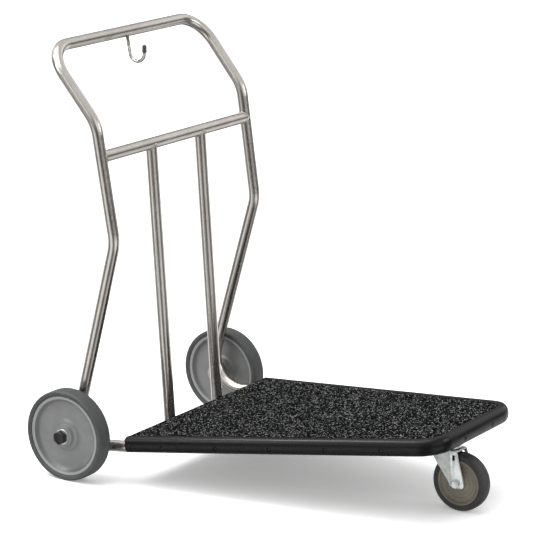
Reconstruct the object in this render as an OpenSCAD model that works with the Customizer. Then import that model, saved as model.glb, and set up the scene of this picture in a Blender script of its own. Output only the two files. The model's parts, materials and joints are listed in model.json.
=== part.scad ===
// Hotel luggage cart: stainless tube frame, two fixed rear wheels, one swivel caster
// and a carpeted deck that rises towards the front.
// X runs forwards, Y to the left and Z up. The origin is on the floor, in the middle
// of the footprint. Lengths are in millimetres and angles in degrees.

/* [Frame tube] */
// Outside diameter of every frame tube
tube_od = 25.4; // [19:0.1:32]
// Wall of every frame tube
tube_wall = 1.5; // [1.2:0.1:2.5]
// Centre-line radius of the handle corners
bend_r = 68; // [50:0.5:90]
// Centre-line radius of the two shallow bends in each side
side_bend_r = 90; // [60:1:140]
// Centre-line radius of the bend beside each rear wheel
heel_bend_r = 70; // [50:0.5:76]

/* [Handle and sides] */
// Height of the centre of the handle bar
handle_h = 948; // [850:1:1100]
// Distance from the rear axle back to the handle bar
handle_back = 58; // [0:1:120]
// Half the distance between the side centre lines at the handle bar
handle_half_w = 277; // [220:1:330]
// Half the distance between the side centre lines at the bottom
heel_half_w = 258; // [210:1:310]
// Height of the upper bend of each side
upper_bend_h = 798; // [700:1:830]
// Distance of the upper bend in front of the rear axle
upper_bend_x = 69; // [20:1:120]
// Height of the middle bend of each side
middle_bend_h = 540; // [400:1:620]
// Distance of the middle bend in front of the rear axle
middle_bend_x = 110; // [60:1:160]
// Distance of the lower corner behind the rear axle
heel_back = 21; // [15:1:26]
// Height of the crossbar
crossbar_h = 726; // [660:1:750]
// Half the distance between the two uprights
upright_half_w = 92; // [50:1:150]

/* [Deck] */
// Height of the deck rail centre line at the rear axle
rail_h = 69; // [66:0.5:80]
// Rise of the deck towards the front
deck_slope = 7.2; // [5:0.1:8]
// Distance of the rear deck edge in front of the rear axle
deck_rear = 141; // [135:1:180]
// Distance of the front rail centre line in front of the rear axle
deck_front = 843; // [810:1:980]
// Half the distance between the rail centre lines at the front
front_half_w = 147.6; // [130:0.1:180]
// Centre-line radius of the front deck corners
deck_corner_r = 42; // [38:0.5:60]
// Thickness of the deck board
board_t = 10.5; // [6:0.5:15]
// Thickness of the carpet
carpet_t = 3.5; // [3:0.5:8]
// Wall of the rubber edge bumper
bumper_wall = 3; // [2.5:0.5:5]
// Bulge of the bumper nose beyond its upper and lower edges
bumper_nose = 10.5; // [6:0.5:12]
// Width of the bumper lip that covers the deck edge
bumper_lip = 13; // [10:0.5:20]
// Distance from one bumper screw to the next
screw_pitch = 127; // [100:1:135]

/* [Rear wheels] */
// Diameter of the rear wheels
wheel_d = 203.2; // [180:0.1:215]
// Distance between the middle planes of the rear wheels
track = 600; // [590:1:680]
// Greatest width of the rear tyres
tyre_w = 38; // [30:0.5:44]
// Thickness of the rear tyre rubber
tyre_t = 12; // [8:0.5:16]
// Width of the rear hub rim
rim_w = 32; // [26:0.5:36]
// Length of the rear hub barrel
hub_len = 44; // [40:0.5:48]
// Diameter of the stub axles
axle_d = 15.9; // [12:0.1:18]

/* [Caster] */
// Distance from the rear axle forwards to the swivel axis
swivel_x = 788; // [760:1:800]
// Diameter of the caster wheel
caster_d = 127; // [110:0.1:130]
// Distance of the caster axle from the swivel axis
caster_trail = 32; // [24:1:38]
// Height of the top of the caster plate
caster_h = 157; // [152:0.1:159]
// Width of the caster wheel
caster_w = 33; // [28:0.5:36]
// Thickness of the caster tyre rubber
caster_tyre_t = 14; // [10:0.5:16]
// Thickness of the fork sheet
fork_t = 3; // [2:0.5:4]
// Diameter of the caster axle bolt
caster_axle_d = 9.5; // [8:0.1:12]

/* [Bag hook] */
// Diameter of the hook rod
hook_d = 6.4; // [5:0.1:8]
// Centre-line radius of the hook bowl
hook_r = 20; // [14:0.5:26]
// Drop from the underside of the handle bar to the centre of the hook bowl
hook_drop = 31; // [15:1:45]
// Distance of the centre of the hook bowl in front of the handle bar
hook_ahead = 35; // [26:1:40]
// Lean of the hook stem from the vertical
hook_lean = 10; // [4:1:16]
// Rise of the hook on its open side
hook_rise = 12; // [6:1:22]

/* [Hidden] */
$fn = 64;

// Clearances that several fits share.
running = 0.05;
seat = 0.1;
side_play = 0.3;
// Gap that the weld fills where one tube is coped to another.
weld_gap = 0.05;
// Step in radius and lap between the straights and the bends of one tube.
bend_step = 0.05;
bend_lap = 0.5;
cut = 1;
// Facets of each round deck corner.
corner_steps = 18;

tube_r = tube_od / 2;
tube_in = tube_r - tube_wall;
wheel_r = wheel_d / 2;
caster_r = caster_d / 2;
caster_axle_x = swivel_x + caster_trail;
// The rear axle lies so far behind the origin that the footprint is centred on it.
axle_x = -(caster_axle_x + caster_r - wheel_r) / 2;

// Deck plane: a point u along the slope, v to the left and w above the rail centres.
function deck_pt(u, v, w) = [
    u * cos(deck_slope) - w * sin(deck_slope),
    v,
    rail_h + u * sin(deck_slope) + w * cos(deck_slope)
];
function unit(a) = a / norm(a);
function mirrored(points) = [for (p = points) [p[0], -p[1], p[2]]];
function reversed(points) = [for (i = [len(points) - 1:-1:0]) points[i]];

// Side centre lines: the half width shrinks evenly from the handle to the heel.
heel = deck_pt(-heel_back, heel_half_w, 0);
function half_w_at(h) = heel_half_w
    + (handle_half_w - heel_half_w) * (h - heel[2]) / (handle_h - heel[2]);
handle_corner = [-handle_back, handle_half_w, handle_h];
upper_bend = [upper_bend_x, half_w_at(upper_bend_h), upper_bend_h];
middle_bend = [middle_bend_x, half_w_at(middle_bend_h), middle_bend_h];
crossbar_share = (upper_bend_h - crossbar_h) / (upper_bend_h - middle_bend_h);
side_joint = upper_bend + crossbar_share * (middle_bend - upper_bend);

// Rails: straight beside the wheels, then converging towards the front.
rail_turn_u = deck_rear - 8;
rail_joint_u = deck_rear + 60;
rail_taper = (heel_half_w - front_half_w) / (deck_front - rail_turn_u);
taper_angle = atan(rail_taper);
function rail_v(u) = heel_half_w - rail_taper * (u - rail_turn_u);
rail_turn = deck_pt(rail_turn_u, heel_half_w, 0);
rail_joint = deck_pt(rail_joint_u, rail_v(rail_joint_u), 0);
front_corner = deck_pt(deck_front, front_half_w, 0);

board_bottom_w = tube_r;
board_top_w = board_bottom_w + board_t;
carpet_top_w = board_top_w + carpet_t;
bumper_top_w = board_top_w + bumper_wall;
bumper_bottom_w = -tube_r * 0.72;
bumper_out = tube_r + side_play + bumper_wall;
// The bumper section is half an ellipse on its outside.
nose_from = bumper_out - 2;
nose_steps = 14;

// ---------- shared shapes ----------

// Puts its children in a frame with the given origin, X direction and Z direction.
module framed(origin, x_dir, z_dir) {
    y_dir = cross(z_dir, x_dir);
    multmatrix([
        [x_dir[0], y_dir[0], z_dir[0], origin[0]],
        [x_dir[1], y_dir[1], z_dir[1], origin[1]],
        [x_dir[2], y_dir[2], z_dir[2], origin[2]],
        [0, 0, 0, 1]
    ]) children();
}

function side_of(z_dir) = unit(cross(abs(z_dir[2]) < 0.9 ? [0, 0, 1] : [0, 1, 0], z_dir));
function corner_half(a, b, c) = acos(unit(a - b) * unit(c - b)) / 2;
function corner_trim(path, radii, i) =
    i == 0 || i == len(path) - 1 ? 0
    : radii[i - 1] / tan(corner_half(path[i - 1], path[i], path[i + 1]));

// Ring or disc from which a bar of that radius is swept.
module bar_section(r_out, r_in) {
    difference() {
        circle(r = r_out);
        if (r_in > 0) circle(r = r_in);
    }
}

function bend_centre(path, radii, i) =
    path[i] + unit(unit(path[i - 1] - path[i]) + unit(path[i + 1] - path[i]))
        * radii[i - 1] / sin(corner_half(path[i - 1], path[i], path[i + 1]));
// Direction from the bend centre to the start (side -1) or the end (side 1) of the bend.
function bend_out(path, radii, i, side) =
    unit(path[i] + unit(path[i + side] - path[i]) * corner_trim(path, radii, i)
        - bend_centre(path, radii, i));
function bend_axis(path, radii, i) =
    unit(cross(path[i - 1] - path[i], bend_out(path, radii, i, -1)));
// Where the seam of straight i lies. It is carried through each bend, so that the rings of
// facets on a straight and on its bends line up.
function seam(path, radii, i) =
    i == 0 ? (len(path) > 2 ? bend_out(path, radii, 1, -1) : side_of(unit(path[1] - path[0])))
    : let (x = seam(path, radii, i - 1), z = bend_axis(path, radii, i))
        unit((x * bend_out(path, radii, i, -1)) * bend_out(path, radii, i, 1) + (x * z) * z);

// Bar along a path of straight lines, with a true bend of the given radius at each corner.
// The straights are a hair thinner than the bends and reach a little way into them, so that
// both join into one solid.
module bent_bar(path, radii, r_out, r_in = 0) {
    last = len(path) - 1;
    for (i = [0:last - 1]) {
        dir = unit(path[i + 1] - path[i]);
        start = path[i] + dir * (corner_trim(path, radii, i) - (i > 0 ? bend_lap : 0));
        stop = path[i + 1] - dir * (corner_trim(path, radii, i + 1) - (i < last - 1 ? bend_lap : 0));
        framed(start, seam(path, radii, i), dir) linear_extrude(norm(stop - start))
            bar_section(r_out - bend_step, r_in > 0 ? r_in + bend_step : 0);
    }
    if (last > 1) for (i = [1:last - 1]) {
        out = bend_out(path, radii, i, -1);
        axis = bend_axis(path, radii, i);
        x = seam(path, radii, i - 1);
        framed(bend_centre(path, radii, i), out, axis)
            rotate_extrude(angle = 180 - 2 * corner_half(path[i - 1], path[i], path[i + 1]))
                translate([radii[i - 1], 0]) rotate(atan2(x * axis, x * out))
                    bar_section(r_out, r_in);
    }
}

// Straight solid bar between two points.
module rod(a, b, r) {
    framed(a, side_of(unit(b - a)), unit(b - a)) cylinder(h = norm(b - a), r = r);
}

module on_cart() {
    translate([axle_x, 0, 0]) children();
}

// Deck coordinates: X along the slope, Z along the deck normal, zero at the rail centres.
module on_deck() {
    on_cart() translate([0, 0, rail_h]) rotate([0, -deck_slope, 0]) children();
}

module both_sides() {
    children();
    mirror([0, 1, 0]) children();
}

// Hexagon of the given width across its flats.
module hexagon(across) {
    circle(r = across / 2 / cos(30), $fn = 6);
}

// ---------- frame ----------

side_path = [side_joint, middle_bend, heel, rail_turn, rail_joint];
side_radii = [side_bend_r, heel_bend_r, bend_r];
hoop_path = concat(
    [side_joint, upper_bend, handle_corner],
    reversed(mirrored([side_joint, upper_bend, handle_corner]))
);
hoop_radii = [side_bend_r, bend_r, bend_r, side_bend_r];
rail_path = [rail_joint, front_corner, mirrored([front_corner])[0], mirrored([rail_joint])[0]];
rail_radii = [deck_corner_r, deck_corner_r];

module handle_hoop() {
    color("silver") on_cart() bent_bar(hoop_path, hoop_radii, tube_r, tube_in);
}

module side_tube() {
    color("silver") difference() {
        on_cart() bent_bar(side_path, side_radii, tube_r, tube_in);
        on_deck() screw_holes();
    }
}

module left_side_tube() {
    side_tube();
}

module right_side_tube() {
    mirror([0, 1, 0]) side_tube();
}

// Solid shapes of the tubes, used to cope the ends of what is welded to them.
module side_solid() {
    both_sides() rod(upper_bend, middle_bend, tube_r + weld_gap);
}

module rail_solid() {
    both_sides() {
        rod(rail_turn, front_corner, tube_r + weld_gap);
        rod(heel, rail_turn, tube_r + weld_gap);
    }
}

crossbar_a = [side_joint[0], side_joint[1], crossbar_h];
module crossbar() {
    color("silver") on_cart() difference() {
        bent_bar([crossbar_a, mirrored([crossbar_a])[0]], [], tube_r, tube_in);
        side_solid();
    }
}

// The rear cross member is a flat rectangular tube that carries the uprights and the board.
member_u = deck_rear - 6;
member_w = 38.1;
member_len = 2 * (rail_v(member_u + member_w / 2) - tube_r / 2);
upright_foot = deck_pt(member_u - 8, upright_half_w, tube_r);
upright_head = [crossbar_a[0], upright_half_w, crossbar_h];

module upright() {
    color("silver") on_cart() difference() {
        bent_bar([upright_head, upright_foot + unit(upright_foot - upright_head) * tube_r], [],
            tube_r, tube_in);
        rod(crossbar_a, mirrored([crossbar_a])[0], tube_r + weld_gap);
        translate([0, 0, rail_h]) rotate([0, -deck_slope, 0])
            translate([member_u - member_w, 0, tube_r - tube_od])
                cube([2 * member_w, member_len, tube_od]);
    }
}

module left_upright() {
    upright();
}

module right_upright() {
    mirror([0, 1, 0]) upright();
}

module rear_cross_member() {
    color("silver") difference() {
        on_deck() translate([member_u - member_w / 2, -member_len / 2, -tube_r]) difference() {
            cube([member_w, member_len, tube_od]);
            translate([tube_wall, -cut, tube_wall])
                cube([member_w - 2 * tube_wall, member_len + 2 * cut, tube_od - 2 * tube_wall]);
        }
        on_cart() rail_solid();
    }
}

// Screws through the board into the rails and the bumper into the rails.
screw_r = 2;
screw_head_r = 4;
screw_head_h = 1.6;
screw_len = 12;
// Height of the bumper screws above the rail centres, and how far out their heads sit.
bumper_screw_w = 4;
screw_seat = nose_from + bumper_nose - 2.5;
deck_screw_u = [for (i = [0:4]) deck_rear + 40 + i * 140];
bumper_screw_u = concat([deck_rear + 14],
    [for (i = [0:4]) deck_front - deck_corner_r - 66 - i * screw_pitch]);
front_screw_v = [-58, 58];

module deck_screw_places() {
    for (u = deck_screw_u) both_sides() translate([u, rail_v(u), board_top_w]) children();
}

// Children have +Z pointing out of the bumper face, at the rail centre line.
module bumper_screw_places() {
    for (u = bumper_screw_u) both_sides()
        translate([u, rail_v(u), bumper_screw_w])
            rotate([0, 0, -taper_angle]) rotate([-90, 0, 0]) children();
    for (v = front_screw_v)
        translate([deck_front, v, bumper_screw_w]) rotate([0, 90, 0]) children();
}

module deck_hoop() {
    color("silver") difference() {
        on_cart() bent_bar(rail_path, rail_radii, tube_r, tube_in);
        on_deck() screw_holes();
    }
}

module screw_holes() {
    deck_screw_places() translate([0, 0, -screw_len - cut])
        cylinder(h = screw_len + 2 * cut, r = screw_r + running);
    bumper_screw_places() cylinder(h = tube_od, r = screw_r + running);
}

middle_tube_u = 460;
module middle_cross_tube() {
    a = deck_pt(middle_tube_u, rail_v(middle_tube_u), 0);
    color("silver") on_cart() difference() {
        bent_bar([a, mirrored([a])[0]], [], tube_r, tube_in);
        rail_solid();
    }
}

// Folded channel between the rails: its web is level and carries the caster plate.
channel_t = 4;
channel_bolt_x = 45;
channel_bolt_y = 76;
channel_back = swivel_x - channel_bolt_x / 2 - 21;
channel_len = deck_front * cos(deck_slope) - tube_r - side_play - channel_back;
bolt_r = 4;

module channel_bolt_places() {
    for (sx = [-1, 1], sy = [-1, 1])
        translate([swivel_x + sx * channel_bolt_x / 2, sy * channel_bolt_y / 2, 0]) children();
}

module caster_channel() {
    color("silver") difference() {
        intersection() {
            on_cart() translate([channel_back, -heel_half_w, caster_h]) difference() {
                cube([channel_len, 2 * heel_half_w, channel_len]);
                translate([channel_t, -cut, channel_t]) cube([channel_len - 2 * channel_t,
                    2 * heel_half_w + 2 * cut, channel_len]);
            }
            on_deck() translate([0, 0, -channel_len])
                linear_extrude(channel_len + board_bottom_w - weld_gap)
                    deck_outline(-tube_r - weld_gap);
        }
        on_cart() channel_bolt_places()
            translate([0, 0, caster_h - cut]) cylinder(h = channel_t + 2 * cut, r = bolt_r + seat);
    }
}

// ---------- bag hook ----------

hook_x = hook_ahead - handle_back;
hook_z = handle_h - tube_r - hook_drop;
stem_foot = [hook_x - hook_r * cos(hook_lean), 0, hook_z - hook_r * sin(hook_lean)];
stem_len = (handle_h - stem_foot[2]) / cos(hook_lean);
tip_len = 16;
tip_r = hook_d / 2 + 1.2;

module bag_hook() {
    color("gainsboro") on_cart() difference() {
        union() {
            translate(stem_foot) rotate([0, -hook_lean, 0])
                translate([0, 0, -bend_lap]) cylinder(h = stem_len + bend_lap, r = hook_d / 2 - bend_step);
            translate([hook_x, 0, hook_z]) rotate([90, 0, 0])
                rotate_extrude(angle = 180 - hook_lean, start = 180 + hook_lean)
                    translate([hook_r, 0]) circle(d = hook_d);
            translate([hook_x + hook_r, 0, hook_z - bend_lap])
                cylinder(h = hook_rise + bend_lap, r = hook_d / 2 - bend_step);
        }
        rod(handle_corner, mirrored([handle_corner])[0], tube_r + weld_gap);
    }
}

module hook_tip() {
    color("dimgray") on_cart() translate([hook_x + hook_r, 0, hook_z])
        rotate_extrude() polygon([
            [0, hook_rise],
            [hook_d / 2, hook_rise],
            [hook_d / 2, hook_rise - tip_len * 0.6],
            [tip_r, hook_rise - tip_len * 0.6],
            [tip_r, hook_rise + tip_len * 0.3],
            [tip_r * 0.6, hook_rise + tip_len * 0.4],
            [0, hook_rise + tip_len * 0.4]
        ]);
}

// ---------- deck ----------

// Outline of the deck, set out from the rail centre lines by the given distance.
// It is a trapezium with two round front corners.
module deck_outline(out, rear = deck_rear) {
    edge = out / cos(taper_angle);
    cu = deck_front - deck_corner_r;
    cv = rail_v(cu) - deck_corner_r / cos(taper_angle);
    sweep = 90 - taper_angle;
    left = concat(
        [[rear, rail_v(rear) + edge]],
        [for (i = [0:corner_steps]) let (a = sweep * (1 - i / corner_steps))
            [cu + (deck_corner_r + out) * cos(a), cv + (deck_corner_r + out) * sin(a)]]
    );
    polygon(concat(left, [for (i = [len(left) - 1:-1:0]) [left[i][0], -left[i][1]]]));
}

module deck_board() {
    color("burlywood") on_deck() difference() {
        translate([0, 0, board_bottom_w]) linear_extrude(board_t) deck_outline(tube_r);
        screw_holes();
        deck_screw_places() translate([0, 0, -screw_head_r + screw_r])
            cylinder(h = screw_head_r - screw_r + cut, r1 = screw_r, r2 = screw_head_r + cut);
    }
}

module deck_carpet() {
    color("black") on_deck() translate([0, 0, board_top_w])
        linear_extrude(carpet_t) deck_outline(bumper_out - bumper_lip - side_play);
}

// Section of the bumper: X outwards from the rail centre line, Y along the deck normal.
// It is drawn smaller all round by the given step.
module bumper_section(step = 0) {
    middle = (bumper_top_w + bumper_bottom_w) / 2;
    half = (bumper_top_w - bumper_bottom_w) / 2 - step;
    polygon(concat(
        [for (i = [0:nose_steps]) let (a = 90 - 180 * i / nose_steps)
            [nose_from + (bumper_nose - step) * cos(a), middle + half * sin(a)]],
        [
            [tube_r + side_play + step, middle - half],
            [tube_r + side_play + step, board_top_w + step],
            [bumper_out - bumper_lip + step, board_top_w + step],
            [bumper_out - bumper_lip + step, middle + half]
        ]
    ));
}

// The bumper runs straight along each rail and across the front, and round both corners.
module bumper_sweep() {
    cu = deck_front - deck_corner_r;
    cv = rail_v(cu) - deck_corner_r / cos(taper_angle);
    start_u = deck_rear - bumper_lip;
    side_len = (cu + deck_corner_r * sin(taper_angle) - start_u) / cos(taper_angle);
    both_sides() {
        framed([start_u, rail_v(start_u), 0], [sin(taper_angle), cos(taper_angle), 0],
            [cos(taper_angle), -sin(taper_angle), 0])
                linear_extrude(side_len + bend_lap) bumper_section(bend_step);
        translate([cu, cv, 0]) rotate_extrude(angle = 90 - taper_angle)
            translate([deck_corner_r, 0]) bumper_section();
    }
    framed([deck_front, cv + bend_lap, 0], [1, 0, 0], [0, -1, 0])
        linear_extrude(2 * (cv + bend_lap)) bumper_section(bend_step);
}

module deck_bumper() {
    color("black") on_deck() difference() {
        bumper_sweep();
        translate([0, -heel_half_w - tube_od, -tube_od])
            cube([deck_rear, 2 * (heel_half_w + tube_od), 3 * tube_od]);
        bumper_screw_places() {
            cylinder(h = 2 * tube_od, r = screw_r + running);
            translate([0, 0, screw_seat]) cylinder(h = tube_od, r = screw_head_r + running);
        }
    }
}

// A screw shaft with a low round head, sunk in the bumper face.
module bumper_screws() {
    color("black") on_deck() bumper_screw_places() {
        translate([0, 0, screw_seat - screw_len]) cylinder(h = screw_len, r = screw_r);
        translate([0, 0, screw_seat])
            cylinder(h = screw_head_h, r1 = screw_head_r, r2 = screw_head_r * 0.6);
    }
}

module deck_screws() {
    color("silver") on_deck() deck_screw_places() {
        translate([0, 0, -screw_len]) cylinder(h = screw_len, r = screw_r);
        translate([0, 0, -screw_head_r + screw_r])
            cylinder(h = screw_head_r - screw_r, r1 = screw_r, r2 = screw_head_r);
    }
}

// ---------- rear axles and wheels ----------

// Children have +Z pointing outwards to the left, on the rear axle.
module on_axle(y) {
    on_cart() translate([0, y, wheel_r]) rotate([-90, 0, 0]) children();
}

axle_r = axle_d / 2;
washer_t = 2;
washer_r = axle_r + 7;
boss_r = axle_r + 11;
boss_end = track / 2 - hub_len / 2 - side_play - washer_t;
hub_end = track / 2 + hub_len / 2 + side_play;
nut_across = 22.2;
nut_h = 10;
axle_past_nut = 1.5;
cap_wall = 1.3;
cap_h = nut_h + axle_past_nut + cap_wall + 2 * seat;
bore_r = axle_r + running;
bush_wall = 3;
bush_len = 14;
bush_flange = 2.5;
bush_flange_t = 2;

module left_stub_axle() {
    start = half_w_at(wheel_r);
    color("silver") difference() {
        union() {
            on_axle(start) cylinder(h = boss_end - start, r = boss_r);
            on_axle(boss_end - cut)
                cylinder(h = hub_end + washer_t + nut_h + axle_past_nut - boss_end + cut, r = axle_r);
        }
        on_cart() bent_bar([middle_bend, heel, rail_turn], [heel_bend_r], tube_r + weld_gap);
    }
}

module right_stub_axle() {
    mirror([0, 1, 0]) left_stub_axle();
}

module washer(r_out, r_in, t) {
    linear_extrude(t) bar_section(r_out, r_in);
}

module inner_axle_washers() {
    color("lightsteelblue") both_sides() on_axle(boss_end) washer(washer_r, bore_r, washer_t);
}

module outer_axle_washers() {
    color("lightsteelblue") both_sides() on_axle(hub_end) washer(washer_r, bore_r, washer_t);
}

module axle_nuts() {
    color("lightsteelblue") both_sides() on_axle(hub_end + washer_t)
        linear_extrude(nut_h) difference() {
            hexagon(nut_across);
            circle(r = axle_r);
        }
}

// Black cover over each nut.
module axle_caps() {
    color("black") both_sides() on_axle(hub_end + washer_t) difference() {
        linear_extrude(cap_h) hexagon(nut_across + 2 * cap_wall + 2 * seat);
        translate([0, 0, -cut]) linear_extrude(cap_h - cap_wall + cut)
            hexagon(nut_across + 2 * seat);
    }
}

// Wheel hub turned about Z: barrel, dished web and rim, alike on both faces.
// The rim steps inwards in a narrow light ring before the web.
module hub_shape(rim_r, rim_half, web_r, web_half, boss_r, barrel_r, barrel_half, bore) {
    upper = [
        [barrel_r - 2, barrel_half],
        [barrel_r, barrel_half - 2],
        [barrel_r + 1, rim_half - 2],
        [boss_r, web_half],
        [web_r, web_half],
        [web_r + (rim_r - web_r) * 0.4, rim_half - 1],
        [web_r + (rim_r - web_r) * 0.5, rim_half],
        [rim_r, rim_half]
    ];
    lower = [for (i = [len(upper) - 1:-1:0]) [upper[i][0], -upper[i][1]]];
    rotate_extrude($fn = 96) difference() {
        polygon(concat([[0, barrel_half]], upper, lower, [[0, -barrel_half]]));
        translate([0, -barrel_half - cut]) square([bore, 2 * (barrel_half + cut)]);
    }
}

// Tyre turned about Z: flat bore, bulging side walls and a crowned tread.
module tyre_shape(outer_r, thick, width, base_w) {
    shoulder = outer_r - thick * 0.42;
    side = [
        [outer_r - thick, base_w / 2],
        [outer_r - thick * 0.8, base_w / 2 + (width - base_w) * 0.25],
        [shoulder, width / 2],
        [outer_r - thick * 0.16, width / 2 - thick * 0.2],
        [outer_r - thick * 0.04, width / 2 - thick * 0.55],
        [outer_r, 0]
    ];
    back = [for (i = [len(side) - 2:-1:0]) [side[i][0], -side[i][1]]];
    rotate_extrude($fn = 96) polygon(concat(side, back));
}

hub_rim_r = wheel_r - tyre_t;
barrel_r = axle_r + 16;
hub_bore_r = axle_r + bush_wall;

module wheel_hub(y) {
    color("gray") on_axle(y) difference() {
        hub_shape(hub_rim_r, rim_w / 2, hub_rim_r - 7, rim_w / 2 - 8, barrel_r + 14,
            barrel_r, hub_len / 2, hub_bore_r);
        for (s = [0, 1]) mirror([0, 0, s]) translate([0, 0, hub_len / 2 - bush_flange_t])
            cylinder(h = bush_flange_t + cut, r = hub_bore_r + bush_flange);
    }
}

module wheel_tyre(y) {
    color("dimgray") on_axle(y) tyre_shape(wheel_r, tyre_t, tyre_w, rim_w);
}

module wheel_bushes(y) {
    color("ivory") on_axle(y) for (s = [0, 1]) mirror([0, 0, s])
        translate([0, 0, hub_len / 2 - bush_len]) {
            difference() {
                union() {
                    cylinder(h = bush_len, r = hub_bore_r);
                    translate([0, 0, bush_len - bush_flange_t])
                        cylinder(h = bush_flange_t, r = hub_bore_r + bush_flange);
                }
                translate([0, 0, -cut]) cylinder(h = bush_len + 2 * cut, r = bore_r);
            }
        }
}

module left_wheel_hub() {
    wheel_hub(track / 2);
}

module left_wheel_tyre() {
    wheel_tyre(track / 2);
}

module left_wheel_bushes() {
    wheel_bushes(track / 2);
}

module right_wheel_hub() {
    wheel_hub(-track / 2);
}

module right_wheel_tyre() {
    wheel_tyre(-track / 2);
}

module right_wheel_bushes() {
    wheel_bushes(-track / 2);
}

// ---------- caster ----------

module on_swivel(z) {
    on_cart() translate([swivel_x, 0, z]) children();
}

module on_caster_axle() {
    on_cart() translate([caster_axle_x, 0, caster_r]) rotate([-90, 0, 0]) children();
}

plate_t = 3;
plate_x = channel_bolt_x + 22;
plate_y = channel_bolt_y + 22;
bolt_head_h = 5;
bolt_head_across = 13;
kingpin_r = 6;
kingpin_head_r = 10;
kingpin_head_h = 2.5;
ball_r = 3;
ball_ring_r = 21;
ball_count = 18;
race_depth = 1.2;
race_gap = 2 * (ball_r - race_depth);
race_flange_h = 16;
crown_top = caster_h - plate_t - race_flange_h - race_gap;
crown_bottom = crown_top - fork_t;
crown_r = 27;
kingpin_nut_h = 6;
fork_gap = 2 * 19.6;
hub_half = fork_gap / 2 - 1.6;
leg_front = -1;
leg_back = 73;
lug_r = 17;
lug_drop = 9;
caster_axle_r = caster_axle_d / 2;
spacer_r = caster_axle_r + 1.6;
caster_bore_r = spacer_r + running;
caster_rim_r = caster_r - caster_tyre_t;

// Ball groove about the swivel axis, at the given height.
module ball_groove(z) {
    translate([0, 0, z]) rotate_extrude() translate([ball_ring_r, 0]) circle(r = ball_r + seat / 2);
}

ball_z = crown_top + race_gap / 2;

module caster_top_plate() {
    color("lightsteelblue") difference() {
        union() {
            on_swivel(caster_h - plate_t) translate([-plate_x / 2, -plate_y / 2, 0])
                cube([plate_x, plate_y, plate_t]);
            on_swivel(caster_h - plate_t - race_flange_h)
                cylinder(h = race_flange_h + plate_t / 2, r = ball_ring_r + 7);
        }
        on_cart() channel_bolt_places() translate([0, 0, caster_h - plate_t - cut])
            cylinder(h = plate_t + 2 * cut, r = bolt_r + seat);
        on_swivel(0) ball_groove(ball_z);
        on_swivel(crown_top) cylinder(h = caster_h, r = kingpin_r);
        on_swivel(caster_h - kingpin_head_h) cylinder(h = plate_t, r = kingpin_head_r);
    }
}

module caster_bolts() {
    color("lightsteelblue") on_cart() channel_bolt_places() {
        translate([0, 0, caster_h - plate_t - bolt_head_h])
            linear_extrude(bolt_head_h) hexagon(bolt_head_across);
        translate([0, 0, caster_h - plate_t - cut])
            cylinder(h = plate_t + channel_t + bolt_head_h + cut, r = bolt_r);
    }
}

module caster_bolt_nuts() {
    color("lightsteelblue") on_cart() channel_bolt_places()
        translate([0, 0, caster_h + channel_t])
            linear_extrude(bolt_head_h) difference() {
                hexagon(bolt_head_across);
                circle(r = bolt_r);
            }
}

module swivel_balls() {
    color("silver") on_swivel(ball_z) for (i = [0:ball_count - 1])
        rotate([0, 0, 360 * i / ball_count]) translate([ball_ring_r, 0, 0])
            sphere(r = ball_r, $fn = 24);
}

// Kingpin: fixed in the top plate, with its nut below the fork crown.
module caster_kingpin() {
    bottom = crown_bottom - side_play - kingpin_nut_h;
    color("lightsteelblue") {
        on_swivel(bottom) cylinder(h = caster_h - bottom, r = kingpin_r);
        on_swivel(caster_h - kingpin_head_h) cylinder(h = kingpin_head_h, r = kingpin_head_r);
    }
}

module kingpin_nut() {
    color("lightsteelblue") on_swivel(crown_bottom - side_play - kingpin_nut_h)
        linear_extrude(kingpin_nut_h) difference() {
            hexagon(3 * kingpin_r);
            circle(r = kingpin_r);
        }
}

// One fork leg as seen from the side, relative to the caster axle.
module leg_outline() {
    top = crown_top - caster_r;
    polygon([
        [-leg_back, top],
        [leg_front, top],
        [lug_r - 3, lug_r - 2],
        [lug_r, 0],
        [lug_r - 2, -lug_drop],
        [4 - lug_r, -lug_drop],
        [-lug_r - 4, 0]
    ]);
}

module caster_fork() {
    color("lightsteelblue") difference() {
        union() {
            on_swivel(crown_bottom) difference() {
                cylinder(h = fork_t, r = crown_r);
            }
            on_cart() translate([caster_axle_x, 0, caster_r]) for (s = [-1, 1])
                translate([0, s * (fork_gap + fork_t) / 2, 0]) rotate([90, 0, 0])
                    linear_extrude(fork_t, center = true) leg_outline();
            on_cart() translate([caster_axle_x - leg_back, -fork_gap / 2 - fork_t, crown_bottom])
                cube([leg_back + leg_front, fork_gap + 2 * fork_t, fork_t]);
        }
        on_swivel(crown_bottom - cut) cylinder(h = fork_t + 2 * cut, r = kingpin_r + running);
        on_swivel(0) ball_groove(ball_z);
        on_caster_axle() cylinder(h = 4 * fork_gap, r = caster_axle_r + running, center = true);
    }
}

caster_nut_across = 14;
caster_nut_h = 7;
caster_washer_r = 9;
caster_washer_t = 1.5;
fork_face = fork_gap / 2 + fork_t;

// Hex head on the left of the fork, thread end and nut on the right.
module caster_axle_bolt() {
    color("lightsteelblue") on_caster_axle() {
        translate([0, 0, -fork_face - caster_washer_t - caster_nut_h - 2])
            cylinder(h = 2 * (fork_face + caster_washer_t) + caster_nut_h + 2 + cut,
                r = caster_axle_r);
        translate([0, 0, fork_face + caster_washer_t])
            linear_extrude(caster_nut_h) hexagon(caster_nut_across);
    }
}

module caster_axle_nut() {
    color("lightsteelblue") on_caster_axle()
        translate([0, 0, -fork_face - caster_washer_t - caster_nut_h])
            linear_extrude(caster_nut_h) difference() {
                hexagon(caster_nut_across);
                circle(r = caster_axle_r);
            }
}

module caster_side_washers() {
    color("lightsteelblue") on_caster_axle() for (s = [0, 1]) mirror([0, 0, s])
        translate([0, 0, fork_face]) washer(caster_washer_r, caster_axle_r + seat, caster_washer_t);
}

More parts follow.
